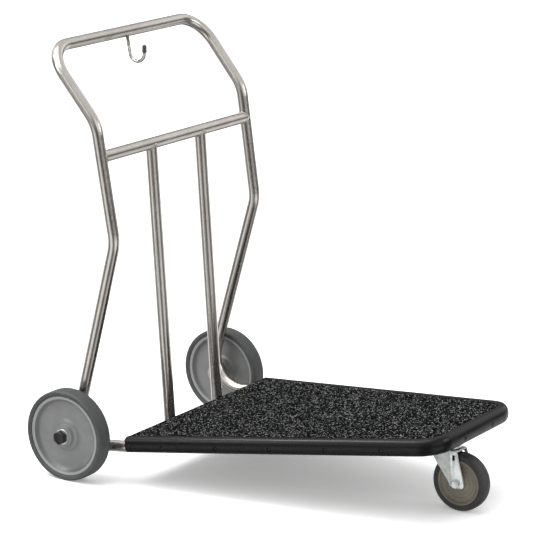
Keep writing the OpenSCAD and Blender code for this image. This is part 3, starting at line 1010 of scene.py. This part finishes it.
@dataclass
class BagHook:
    """Hook under the handle bar, with its soft tip."""

    layout: Layout
    rod_extra: float = 0.7 * MM
    tip_extra: float = 0.5 * MM
    tip_longer: float = 1.5 * MM
    dome_steps: int = 8

    def build(self) -> None:
        """Dress the hook rod and make the tip."""
        steel = BrushedSteel(
            "polished_rod", Run.ALL_WAYS, light=(0.70, 0.68, 0.65), dark=(0.52, 0.50, 0.47), rough=0.14
        )
        rod = Bench.copy(self.layout.frame["nodes"]["bag_hook"], "hook_rod", Matrix.Identity(4))
        Bench.pick(rod)
        bpy.ops.object.mode_set(mode="EDIT")
        Bench.close()
        Bench.finish_modifier(
            rod, "DISPLACE", strength=self.rod_extra, mid_level=0.0, direction="NORMAL"
        )
        Bench.smooth(rod, 50.0)
        dress(rod, steel.make())
        hand_over(rod, "cart_frame", "hook_rod", "bag_hook")
        low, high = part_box("hook_tip")
        radius = (high[0] - low[0]) / 2 + self.tip_extra
        middle = Vector(((low[0] + high[0]) / 2, 0.0, (low[2] + high[2]) / 2))
        half = (high[2] - low[2] + self.tip_longer) / 2
        profile = [(0.0, half + 0.2 * MM)]
        for i in range(1, self.dome_steps + 1):
            turn = math.radians(90 - 90 * i / self.dome_steps)
            profile.append((radius * math.cos(turn), half - radius * 0.9 * (1 - math.sin(turn))))
        profile += [
            (radius, -half * 0.55),
            (radius * 1.08, -half * 0.72),
            (radius * 1.08, -half * 0.86),
            (radius * 0.94, -half),
            (radius * 0.76, -half),
            (radius * 0.76, half * 0.55),
            (0.0, half * 0.55),
        ]
        tip = Bench.turned("soft_tip", profile, (0.0, 0.0, 0.0), 40)
        tip.data.transform(Matrix.Translation(middle) @ Matrix.Rotation(math.pi / 2, 4, "X"))
        soft = MouldedPlastic("tip_rubber", (0.055, 0.055, 0.056), (0.035, 0.035, 0.036), 0.5)
        dress(tip, soft.make())
        hand_over(tip, "cart_frame", "soft_tip", "hook_tip")


@dataclass
class Deck:
    """Sloping deck: board, carpet, rounded edge bumper and screws."""

    layout: Layout
    rear: float = 141 * MM
    front: float = 843 * MM
    rear_half: float = 258 * MM
    front_half: float = 147.6 * MM
    corner_r: float = 42 * MM
    board_top: float = 23.2 * MM
    carpet_t: float = 3.5 * MM
    lip_top: float = 26.2 * MM
    lip_bottom: float = -9.14 * MM
    lip_in: float = 3.0 * MM
    wall_in: float = 13.0 * MM
    nose_from: float = 14.0 * MM
    nose: float = 10.5 * MM
    screw_u: tuple[float, ...] = tuple(u * MM for u in (155, 227, 354, 481, 608, 735))
    screw_w: float = 4 * MM
    front_screw_v: float = 58 * MM
    pocket_reach: float = 24 * MM
    pocket_low_r: float = 4.2 * MM
    pocket_top_r: float = 4.8 * MM
    pocket_depth: float = 5 * MM
    weave: tuple[int, int] = (330, 200)
    pile_drop: float = 0.4 * MM
    pile_skirt: float = 1.2 * MM
    pile_loop: float = 1.3 * MM
    loop_size: float = 3.4 * MM
    roll_drop: float = 1.4 * MM
    roll_width: float = 2.5 * MM
    nose_steps: int = 24
    corner_steps: int = 18
    taper: float = field(init=False)
    turn_u: float = field(init=False)

    def __post_init__(self) -> None:
        """Work out how the rails converge."""
        self.turn_u = self.rear - 8 * MM
        self.taper = math.atan((self.rear_half - self.front_half) / (self.front - self.turn_u))

    def rail_v(self, u: float) -> float:
        """Half the distance between the rails at a distance along the deck."""
        return self.rear_half - math.tan(self.taper) * (u - self.turn_u)

    def corner(self) -> tuple[float, float]:
        """Centre of the left front corner, in deck coordinates."""
        u = self.front - self.corner_r
        return u, self.rail_v(u) - self.corner_r / math.cos(self.taper)

    def half_width(self, u: float, out: float) -> float:
        """Half width of an outline set out from the rail centres.

        Args:
            u: Distance along the deck.
            out: Distance that the outline is set out.

        Returns:
            The half width there.
        """
        cu, cv = self.corner()
        radius = self.corner_r + out
        tangent = cu + radius * math.sin(self.taper)
        if u <= tangent:
            return self.rail_v(u) + out / math.cos(self.taper)
        reach = max(radius**2 - (u - cu) ** 2, 0.0)
        return cv + math.sqrt(reach)

    def carpet(self) -> None:
        """Lay the carpet: a fine sheet whose loops stand up unevenly, with rolled edges."""
        out = self.lip_in - 0.3 * MM
        first, last = self.rear + 0.4 * MM, self.front + out - 0.2 * MM
        Bench.clear()
        bpy.ops.mesh.primitive_grid_add(
            x_subdivisions=self.weave[0], y_subdivisions=self.weave[1], size=1.0,
            location=(0.0, 0.0, 0.0),
        )
        piece = bpy.context.object
        piece.name = piece.data.name = "carpet_pile"
        top = self.board_top + self.carpet_t - self.pile_drop
        for corner in piece.data.vertices:
            u = first + (corner.co.x + 0.5) * (last - first)
            edge = self.half_width(u, out)
            v = corner.co.y * 2 * edge
            near = min(edge - abs(v), u - first, last - u)
            roll = self.roll_drop * max(0.0, 1 - near / self.roll_width) ** 2
            corner.co = (u, v, top - roll)
        texture = bpy.data.textures.new("loop_height", "VORONOI")
        texture.noise_scale = self.loop_size
        Bench.finish_modifier(
            piece, "DISPLACE", texture=texture, strength=-self.pile_loop, mid_level=0.45,
            texture_coords="LOCAL", direction="Z",
        )
        Bench.pick(piece)
        bpy.ops.object.mode_set(mode="EDIT")
        bpy.ops.mesh.select_mode(type="EDGE")
        bpy.ops.mesh.select_all(action="DESELECT")
        bpy.ops.mesh.select_non_manifold()
        skirt = {"value": (0.0, 0.0, -self.pile_skirt)}
        bpy.ops.mesh.extrude_region_move(TRANSFORM_OT_translate=skirt)
        bpy.ops.mesh.select_mode(type="VERT")
        bpy.ops.mesh.select_all(action="SELECT")
        bpy.ops.mesh.normals_make_consistent(inside=False)
        bpy.ops.object.mode_set(mode="OBJECT")
        piece.data.transform(self.layout.deck_matrix())
        middle = len(piece.data.polygons) // 2
        if piece.data.polygons[middle].normal.z < 0:
            piece.data.flip_normals()
        Bench.smooth(piece, 70.0)
        dress(piece, CarpetPile("fleck_carpet").make())
        hand_over(piece, "cart_frame", "carpet", "deck_carpet")

    def section(self) -> Profile:
        """Section of the bumper, as distance out from the rail centre and height."""
        middle = (self.lip_top + self.lip_bottom) / 2
        half = (self.lip_top - self.lip_bottom) / 2
        nose = []
        for i in range(self.nose_steps + 1):
            turn = math.radians(90 - 180 * i / self.nose_steps)
            nose.append((self.nose_from + self.nose * math.cos(turn), middle + half * math.sin(turn)))
        return [
            (self.lip_in + 0.9 * MM, self.lip_top),
            *nose,
            (self.wall_in + 0.6 * MM, self.lip_bottom + 0.3 * MM),
            (self.wall_in, self.lip_bottom + 1.0 * MM),
            (self.wall_in, self.board_top),
            (self.lip_in, self.board_top),
            (self.lip_in, self.lip_top - 0.8 * MM),
        ]

    def pockets(self) -> bpy.types.Object:
        """Round cutters for the screw pockets along the bumper, in deck coordinates.

        Returns:
            All the cutters in one object.
        """
        places = []
        for u in self.screw_u:
            for side in Side:
                out = Vector((math.sin(self.taper), side.value * math.cos(self.taper), 0.0))
                places.append((Vector((u, side.value * self.rail_v(u), self.screw_w)), out))
        for v in (-self.front_screw_v, self.front_screw_v):
            places.append((Vector((self.front, v, self.screw_w)), Vector((1.0, 0.0, 0.0))))
        cutters = []
        for spot, out in places:
            Bench.clear()
            bpy.ops.mesh.primitive_cone_add(
                vertices=28, radius1=self.pocket_low_r, radius2=self.pocket_top_r,
                depth=self.pocket_depth, location=(0.0, 0.0, 0.0),
            )
            cutter = bpy.context.object
            turn = out.to_track_quat("Z", "Y").to_matrix().to_4x4()
            cutter.data.transform(Matrix.Translation(spot + out * self.pocket_reach) @ turn)
            cutters.append(cutter)
        return Bench.join(cutters, "pocket_cutters")

    def bumper(self) -> None:
        """Run the bumper section along one rail, round the front and back along the other."""
        cu, cv = self.corner()
        taper = self.taper
        start = self.rear
        outward = Vector((math.sin(taper), math.cos(taper), 0.0))
        base = Vector((start, self.rail_v(start), 0.0))
        ring = [base + outward * out + Vector((0, 0, w)) for out, w in self.section()]
        ring = [p - Vector((1, -math.tan(taper), 0)) * (p.x - start) for p in ring]
        piece = Bench.loop("edge_bumper", [tuple(p) for p in ring])
        bpy.ops.mesh.edge_face_add()
        ahead = Vector((math.cos(taper), -math.sin(taper), 0.0))
        tangent = cu + self.corner_r * math.sin(taper)
        run = (tangent - start) / math.cos(taper)
        most = {"value": tuple(ahead * run * 0.97)}
        bpy.ops.mesh.extrude_region_move(TRANSFORM_OT_translate=most)
        bpy.ops.object.mode_set(mode="OBJECT")
        edge = Vector((tangent, self.rail_v(tangent), 0.0))
        for corner in piece.data.vertices:
            if corner.select:
                corner.co -= ahead * (corner.co - edge).dot(ahead)
        bpy.ops.object.mode_set(mode="EDIT")
        sweep = math.pi / 2 - taper
        steps = self.corner_steps
        bpy.ops.mesh.spin(steps=steps, angle=sweep, center=(cu, cv, 0.0), axis=(0.0, 0.0, 1.0))
        bpy.ops.mesh.extrude_region_move(TRANSFORM_OT_translate={"value": (0.0, -2 * cv, 0.0)})
        bpy.ops.mesh.spin(steps=steps, angle=sweep, center=(cu, -cv, 0.0), axis=(0.0, 0.0, 1.0))
        back = Vector((-math.cos(taper), -math.sin(taper), 0.0))
        bpy.ops.mesh.extrude_region_move(TRANSFORM_OT_translate={"value": tuple(back * run)})
        bpy.ops.object.mode_set(mode="OBJECT")
        for corner in piece.data.vertices:
            if corner.select:
                corner.co -= Vector((1, math.tan(taper), 0)) * (corner.co.x - start)
        bpy.ops.object.mode_set(mode="EDIT")
        Bench.close()
        Bench.finish_modifier(piece, "BEVEL", width=0.9 * MM, segments=3, angle_limit=1.2)
        Bench.carve(piece, self.pockets())
        piece.data.transform(self.layout.deck_matrix())
        Bench.smooth(piece, 40.0)
        dress(piece, GlossRubber("bumper_rubber").make())
        hand_over(piece, "cart_frame", "bumper", "deck_bumper")

    def build(self) -> None:
        """Dress the board and screws, and make the carpet and the bumper."""
        frame = self.layout.frame
        dress_nodes(frame, ["deck_board"], BareBoard("plywood", self.layout.slope).make())
        dress_nodes(frame, ["deck_screws"], ZincPlate("screw_zinc").make())
        black = ZincPlate("black_screw", (0.05, 0.05, 0.05), (0.02, 0.02, 0.02), 0.35)
        dress_nodes(frame, ["bumper_screws"], black.make())
        self.carpet()
        self.bumper()


@dataclass
class RearWheel:
    """One rear wheel with its tyre, hub, axle hardware and cap."""

    layout: Layout
    side: Side
    hub_finish: bpy.types.Material
    tyre_finish: bpy.types.Material
    cap_finish: bpy.types.Material
    rim_r: float = 89.6 * MM
    barrel_half: float = 22 * MM
    bore_r: float = 10.95 * MM
    cap_tall: float = 13 * MM
    cap_across: float = 27.4 * MM
    washer_bore_r: float = 8.05 * MM
    steps: int = 128

    def word(self) -> str:
        """Name of the side, as the parts use it."""
        return self.side.name.lower()

    def centre(self) -> Point:
        """Middle of the wheel."""
        low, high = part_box(f"{self.word()}_wheel_tyre")
        return tuple((a + b) / 2 for a, b in zip(low, high))

    def hub(self) -> None:
        """Turn the hub: stepped boss, dished web, rolled shoulder and rim bead."""
        bore, boss = self.bore_r, self.barrel_half
        half = [
            (bore + 2.6 * MM, boss - 2 * MM),
            (bore + 2.6 * MM, boss - 0.6 * MM),
            (bore + 3.2 * MM, boss),
            (22.4 * MM, boss),
            (23.6 * MM, boss - 0.5 * MM),
            (24.4 * MM, boss - 1.8 * MM),
            (24.9 * MM, boss - 4.6 * MM),
        ]
        half += in_mm(
            (25.4, 15.0), (26.6, 13.6), (30.6, 12.9), (32.2, 12.2), (33.6, 9.6), (35.8, 7.0),
            (39.4, 5.8), (43.0, 5.4), (60.0, 5.3), (71.0, 5.5), (74.6, 6.1), (77.2, 7.8),
            (79.2, 10.4), (81.0, 13.4), (82.0, 14.8), (83.0, 15.4), (84.4, 15.5), (85.4, 15.4),
            (86.0, 15.9), (86.8, 16.5), (88.0, 16.7), (89.0, 16.3), (89.5, 15.2),
        )
        name = f"{self.word()}_wheel_disc"
        disc = Bench.turned(name, both_ways(half), self.centre(), self.steps)
        dress(disc, self.hub_finish)
        hand_over(disc, f"{self.word()}_wheel", "grey_hub", f"{self.word()}_wheel_hub")

    def tyre(self) -> None:
        """Turn the tyre: bulging walls, soft shoulders and a crowned tread with a parting line."""
        half = [(self.rim_r, 14.6 * MM), (self.rim_r + 0.1 * MM, 16.4 * MM)]
        half += in_mm(
            (90.6, 17.8), (92.4, 18.9), (94.8, 19.7), (97.2, 20.0), (99.2, 19.4), (100.5, 18.0),
            (101.2, 15.4), (101.42, 10.5), (101.5, 4.5), (101.53, 0.5), (101.6, 0.35),
        )
        name = f"{self.word()}_tyre_tread"
        tread = Bench.turned(name, both_ways(half), self.centre(), self.steps)
        dress(tread, self.tyre_finish)
        hand_over(tread, f"{self.word()}_wheel", "grey_tyre", f"{self.word()}_wheel_tyre")

    def cap(self) -> bpy.types.Object:
        """Black hexagon cap over the axle nut, with rounded edges and a domed face.

        Returns:
            The cap, not yet handed over.
        """
        low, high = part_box("axle_caps")
        face = high[1] if self.side is Side.LEFT else low[1]
        sign = self.side.value
        Bench.clear()
        bpy.ops.mesh.primitive_cylinder_add(
            vertices=6, radius=self.cap_across / 2 / math.cos(math.pi / 6), depth=self.cap_tall,
            location=(self.layout.axle_x, face - sign * self.cap_tall / 2, self.layout.axle_z),
            rotation=(-sign * math.pi / 2, 0.0, 0.0),
        )
        piece = bpy.context.object
        piece.name = piece.data.name = "cap"
        Bench.settle(piece)
        bpy.ops.object.mode_set(mode="EDIT")
        bpy.ops.mesh.select_mode(type="FACE")
        bpy.ops.mesh.select_all(action="DESELECT")
        bpy.ops.object.mode_set(mode="OBJECT")
        for side_face in piece.data.polygons:
            side_face.select = side_face.normal.y * sign > 0.9
        bpy.ops.object.mode_set(mode="EDIT")
        bpy.ops.mesh.inset(thickness=2.2 * MM, depth=0.0)
        bpy.ops.mesh.inset(thickness=1.2 * MM, depth=0.7 * MM)
        bpy.ops.mesh.inset(thickness=3.0 * MM, depth=0.35 * MM)
        bpy.ops.mesh.select_mode(type="VERT")
        bpy.ops.object.mode_set(mode="OBJECT")
        Bench.finish_modifier(piece, "BEVEL", width=2.6 * MM, segments=5, angle_limit=0.6)
        Bench.smooth(piece, 50.0)
        dress(piece, self.cap_finish)
        return piece

    def washer(self) -> bpy.types.Object:
        """Wide zinc washer between the hub and the axle nut, with rounded edges.

        Returns:
            The washer, not yet handed over.
        """
        out, bore = self.barrel_half + 0.35 * MM, self.washer_bore_r
        profile = [
            (bore, out),
            (17.0 * MM, out),
            (17.5 * MM, out + 0.5 * MM),
            (17.4 * MM, out + 1.4 * MM),
            (16.8 * MM, out + 1.9 * MM),
            (bore, out + 1.9 * MM),
        ]
        turned = [(radius, along * self.side.value) for radius, along in profile]
        return Bench.turned(f"{self.word()}_washer", turned, self.centre(), 64)

    def build(self) -> None:
        """Make the wheel."""
        self.hub()
        self.tyre()


@dataclass
class Caster:
    """Front swivel caster: top plate, formed fork, wheel and hardware."""

    layout: Layout
    hub_finish: bpy.types.Material
    tyre_finish: bpy.types.Material
    zinc: bpy.types.Material
    rim_r: float = 49.5 * MM
    fork_out: float = 22.6 * MM
    fork_t: float = 3.0 * MM
    leg_back: float = 73 * MM
    leg_front: float = -1.0 * MM
    lug_r: float = 17 * MM
    lug_drop: float = 9 * MM
    slot_size: Point = (6.4 * MM, 12 * MM, 12 * MM)
    slot_back: float = 8.6 * MM
    slot_up: float = 56 * MM
    race_r: float = 27 * MM
    fold: float = 2.2 * MM
    steps: int = 112

    def centre(self) -> Point:
        """Middle of the caster wheel."""
        low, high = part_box("caster_wheel_tyre")
        return tuple((a + b) / 2 for a, b in zip(low, high))

    def hub(self) -> None:
        """Turn the hub with its stepped rings."""
        half = in_mm(
            (10.6, 16.8), (11.0, 17.8), (15.6, 17.8), (16.6, 17.0), (17.2, 14.6), (18.8, 13.2),
            (24.6, 12.6), (25.6, 11.6), (26.6, 10.6), (33.4, 10.2), (34.2, 10.9), (35.2, 11.0),
            (36.0, 10.3), (41.4, 10.3), (43.4, 11.2), (44.6, 13.2), (45.6, 14.6), (46.6, 15.4),
            (48.2, 15.7), (49.2, 15.3), (49.45, 14.4),
        )
        disc = Bench.turned("caster_disc", both_ways(half), self.centre(), self.steps)
        dress(disc, self.hub_finish)
        hand_over(disc, "caster_wheel", "taupe_hub", "caster_wheel_hub")

    def tyre(self) -> None:
        """Turn the caster tyre."""
        half = [(self.rim_r, 13.8 * MM)]
        half += in_mm(
            (49.6, 15.4), (51.0, 16.1), (54.0, 16.5), (57.0, 16.4), (59.6, 15.5), (61.4, 13.8),
            (62.6, 11.0), (63.2, 7.4), (63.42, 3.6), (63.45, 0.4), (63.5, 0.3),
        )
        tread = Bench.turned("caster_tread", both_ways(half), self.centre(), self.steps)
        dress(tread, self.tyre_finish)
        hand_over(tread, "caster_wheel", "dark_tyre", "caster_wheel_tyre")

    def leg(self, side: Side) -> bpy.types.Object:
        """One formed leg: rounded lug, pressed crease and a small slot near the top.

        Args:
            side: Side of the caster.

        Returns:
            The leg as a closed sheet.
        """
        mm = MM
        x, _, z = self.centre()
        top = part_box("caster_fork")[1][2] - 1.6 * mm
        y = side.value * (self.fork_out - self.fork_t / 2)
        outline = [
            (-self.leg_back, top - z),
            (self.leg_front, top - z),
            (self.lug_r - 3 * mm, 14 * mm),
            (self.lug_r - 1.0 * mm, 3 * mm),
            (self.lug_r - 0.4 * mm, -3 * mm),
            (self.lug_r - 1.4 * mm, -6.6 * mm),
            (self.lug_r - 4 * mm, -self.lug_drop),
            (4 * mm - self.lug_r + 2 * mm, -self.lug_drop),
            (4 * mm - self.lug_r - 2 * mm, -self.lug_drop + 1.6 * mm),
            (-self.lug_r - 1.6 * mm, -3 * mm),
            (-self.lug_r - 4 * mm, 1.5 * mm),
        ]
        points = [(x + a, y, z + b) for a, b in outline]
        piece = Bench.loop("leg", points)
        bpy.ops.mesh.edge_face_add()
        crease_top = Vector((x - 22 * mm, y, top))
        crease_foot = Vector((x - 15.5 * mm, y, z - self.lug_drop))
        line = crease_foot - crease_top
        normal = Vector((line.z, 0.0, -line.x)).normalized()
        for back in (0.0, self.fold):
            bpy.ops.mesh.select_all(action="SELECT")
            bpy.ops.mesh.bisect(plane_co=tuple(crease_top + normal * back), plane_no=tuple(normal))
        bpy.ops.object.mode_set(mode="OBJECT")
        for corner in piece.data.vertices:
            behind = (corner.co - crease_top).dot(normal)
            if behind > 0.2 * mm:
                corner.co.y -= side.value * (1.3 * mm + 0.028 * behind)
        Bench.finish_modifier(
            piece, "SOLIDIFY", thickness=self.fork_t, offset=0.0, use_even_offset=True
        )
        slot = (x - self.slot_back, y, z + self.slot_up)
        Bench.carve(piece, Bench.block(self.slot_size, slot, 1.3 * mm, 3))
        return piece

    def fork(self) -> None:
        """Join two legs to the crown, round the edges and hand the fork over."""
        mm = MM
        x = self.centre()[0]
        middle_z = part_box("caster_fork")[1][2] - self.fork_t / 2
        legs = [self.leg(side) for side in Side]
        crown_x = ((x - self.leg_back) + (x + self.leg_front)) / 2
        size = (self.leg_back + self.leg_front, 2 * self.fork_out, self.fork_t)
        crown = Bench.block(size, (crown_x, 0.0, middle_z), 1.4 * mm, 4)
        plate_low, plate_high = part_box("caster_top_plate")
        swivel_x = (plate_low[0] + plate_high[0]) / 2
        Bench.clear()
        bpy.ops.mesh.primitive_cylinder_add(
            vertices=72, radius=self.race_r, depth=self.fork_t, location=(swivel_x, 0.0, middle_z)
        )
        disc = bpy.context.object
        Bench.settle(disc)
        Bench.finish_modifier(disc, "BEVEL", width=0.8 * mm, segments=3, angle_limit=0.6)
        piece = Bench.join([*legs, crown, disc], "formed_fork")
        Bench.finish_modifier(piece, "BEVEL", width=0.45 * mm, segments=2, angle_limit=0.7)
        Bench.smooth(piece, 32.0)
        dress(piece, self.zinc)
        hand_over(piece, "caster_fork", "zinc", "caster_fork")

    def build(self) -> None:
        """Make the caster and dress its hardware."""
        self.hub()
        self.tyre()
        self.fork()
        hardware = [
            "caster_top_plate", "caster_bolts", "caster_bolt_nuts", "swivel_balls",
            "caster_kingpin", "kingpin_nut", "caster_axle_bolt", "caster_axle_nut",
            "caster_spacer_tube", "caster_side_washers",
        ]
        dress_nodes(self.layout.frame, hardware, self.zinc)


@dataclass
class Studio:
    """Pale floor, soft lights and the camera."""

    eye: Point = (3.022, -4.621, 1.870)
    yaw: float = 33.78
    pitch: float = 14.2
    lens: float = 177.15
    broad: float = 2.2
    panel_turn: float = 101.8
    panel_dark: float = 0.27
    panel_light: float = 1.3
    ceiling: float = 0.84
    horizon: float = 0.22
    sun_spread: float = 60.0
    sun_way: Point = (0.24, 0.22, -1.0)
    floor_size: float = 80.0

    @staticmethod
    def hang(name: str, data: bpy.types.ID, way: Vector, place: Point) -> bpy.types.Object:
        """Put a light or camera in the scene.

        Args:
            name: Name of the object.
            data: Its light or camera.
            way: Direction it faces.
            place: Its place.

        Returns:
            The new object.
        """
        made = bpy.data.objects.new(name, data)
        bpy.context.scene.collection.objects.link(made)
        made.location = place
        made.rotation_mode = "QUATERNION"
        made.rotation_quaternion = way.to_track_quat("-Z", "Y")
        return made

    def floor(self) -> None:
        """Lay a wide, flat floor."""
        Bench.clear()
        bpy.ops.mesh.primitive_grid_add(x_subdivisions=12, y_subdivisions=12, size=self.floor_size)
        ground = bpy.context.object
        ground.name = ground.data.name = "studio_floor"
        dress(ground, StudioFloor().make())
        ground.visible_glossy = False

    def light(self, name: str, place: Point, aim: Point, size: float, power: float) -> None:
        """Hang one soft light.

        Args:
            name: Name of the light.
            place: Its place.
            aim: Point it faces.
            size: Side of its square face.
            power: Power in watts.
        """
        lamp = bpy.data.lights.new(name, "AREA")
        lamp.shape = "SQUARE"
        lamp.size = size
        lamp.energy = power
        self.hang(name, lamp, Vector(aim) - Vector(place), place)

    def room(self) -> None:
        """Fill the room with soft light from four tall panels and a pale ceiling."""
        world = bpy.data.worlds.new("soft_room")
        bpy.context.scene.world = world
        board = Board("soft_room", world)
        ways = board.node(
            "ShaderNodeSeparateXYZ", {}, {0: board.node("ShaderNodeTexCoord", output="Generated")}
        )
        height = Link(board, ways.socket.node.outputs["Z"])
        ahead, left = ways, Link(board, ways.socket.node.outputs["Y"])
        turn = board.node("ShaderNodeMath", {"operation": "ARCTAN2"}, {0: left, 1: ahead})
        fourfold = (turn + math.radians(self.panel_turn)) * 4.0
        wave = board.node("ShaderNodeMath", {"operation": "COSINE"}, {0: fourfold})
        panels = wave.ramp(-0.75, 0.85, self.panel_dark, self.panel_light)
        sky = height.ramp(0.25, 0.75)
        level = (height - 0.02).power(2.0).ramp(0.0, 0.036, self.horizon, 1.0)
        under = height.ramp(-0.62, -0.42, 0.5, 1.0)
        glow = (panels * (sky * -1.0 + 1.0) + sky * self.ceiling) * level * under
        white = (1.0, 1.0, 1.0, 1.0)
        light = board.node("ShaderNodeBackground", {}, {"Color": white, "Strength": glow})
        sheet = board.tree.nodes.new("ShaderNodeOutputWorld")
        board.tree.links.new(light.socket, sheet.inputs["Surface"])

    def sun(self) -> None:
        """Hang a broad, even light overhead, a little to the left."""
        lamp = bpy.data.lights.new("broad_light", "SUN")
        lamp.angle = math.radians(self.sun_spread)
        lamp.energy = self.broad
        self.hang("broad_light", lamp, Vector(self.sun_way), (0.0, 0.0, 0.0))

    def lights(self) -> None:
        """Hang the lights."""
        self.sun()
        self.light("strip_bank", (-1.6, -1.0, 2.7), (0.0, 0.0, 0.15), 1.0, 34.0)
        self.light("left_bank", (-2.6, -3.2, 2.2), (0.0, 0.0, 0.4), 1.4, 26.0)
        self.light("right_bank", (3.4, 1.6, 2.0), (0.0, 0.0, 0.4), 1.4, 20.0)

    def camera(self) -> None:
        """Set up the camera."""
        yaw, pitch = math.radians(self.yaw), math.radians(self.pitch)
        back = Vector(
            (math.sin(yaw) * math.cos(pitch), -math.cos(yaw) * math.cos(pitch), math.sin(pitch))
        )
        data = bpy.data.cameras.new("view")
        data.sensor_width = 36.0
        data.lens = self.lens
        data.clip_end = 200.0
        bpy.context.scene.camera = self.hang("view", data, -back, self.eye)
        bpy.context.scene.view_settings.view_transform = "Standard"

    def build(self) -> None:
        """Set the whole studio up."""
        self.floor()
        self.room()
        self.lights()
        self.camera()


def axle_hardware(layout: Layout, wheels: list[RearWheel]) -> None:
    """Dress the rear axles and cover their nuts.

    Args:
        layout: Shared places.
        wheels: Both rear wheels.
    """
    zinc = ZincPlate("axle_zinc").make()
    dress_nodes(layout.frame, ["inner_axle_washers", "axle_nuts"], zinc)
    washers = Bench.join([wheel.washer() for wheel in wheels], "axle_washer_faces")
    dress(washers, zinc)
    hand_over(washers, "cart_frame", "zinc", "outer_axle_washers")
    steel = BrushedSteel("axle_steel", Run.ALONG_Y).make()
    dress_nodes(layout.frame, ["left_stub_axle", "right_stub_axle"], steel)
    caps = Bench.join([wheel.cap() for wheel in wheels], "hexagon_caps")
    hand_over(caps, "cart_frame", "black_caps", "axle_caps")


def main() -> None:
    """Build every sub-assembly in order."""
    logging.basicConfig(level=logging.INFO, format="%(name)s %(message)s")
    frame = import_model()
    layout = Layout(frame)
    Studio().build()
    TubeFrame(layout).build()
    BagHook(layout).build()
    Deck(layout).build()
    grey = MouldedPlastic(
        "grey_wheel_plastic",
        (0.163, 0.168, 0.165),
        (0.138, 0.142, 0.138),
        # axle and ring place the lighter rim ring and the painted shade on the recess wall inside it
        axle=(layout.axle_x, layout.axle_z),
        ring=(82.2 * MM, 85.0 * MM),
    ).make()
    tyre = TyreRubber("grey_tyre_rubber", (0.042, 0.044, 0.045), (0.064, 0.065, 0.064)).make()
    black = MouldedPlastic("black_cap_plastic", (0.012, 0.012, 0.013), (0.006, 0.006, 0.007), 0.3)
    cap = black.make()
    wheels = [RearWheel(layout, side, grey, tyre, cap) for side in Side]
    for wheel in wheels:
        wheel.build()
    axle_hardware(layout, wheels)
    Caster(
        layout,
        MouldedPlastic("taupe_plastic", (0.178, 0.155, 0.116), (0.135, 0.118, 0.090)).make(),
        TyreRubber("dark_tyre_rubber", (0.022, 0.022, 0.023), (0.042, 0.042, 0.043)).make(),
        ZincPlate("caster_zinc", (0.84, 0.87, 0.84), (0.64, 0.67, 0.67), 0.27, 0.66).make(),
    ).build()
    bush = MouldedPlastic("bush_plastic", (0.70, 0.68, 0.63), (0.6, 0.58, 0.54), 0.35).make()
    names = ["left_wheel_bushes", "right_wheel_bushes", "caster_wheel_bush"]
    dress_nodes(frame, names, bush)


if __name__ == "__main__":
    main()
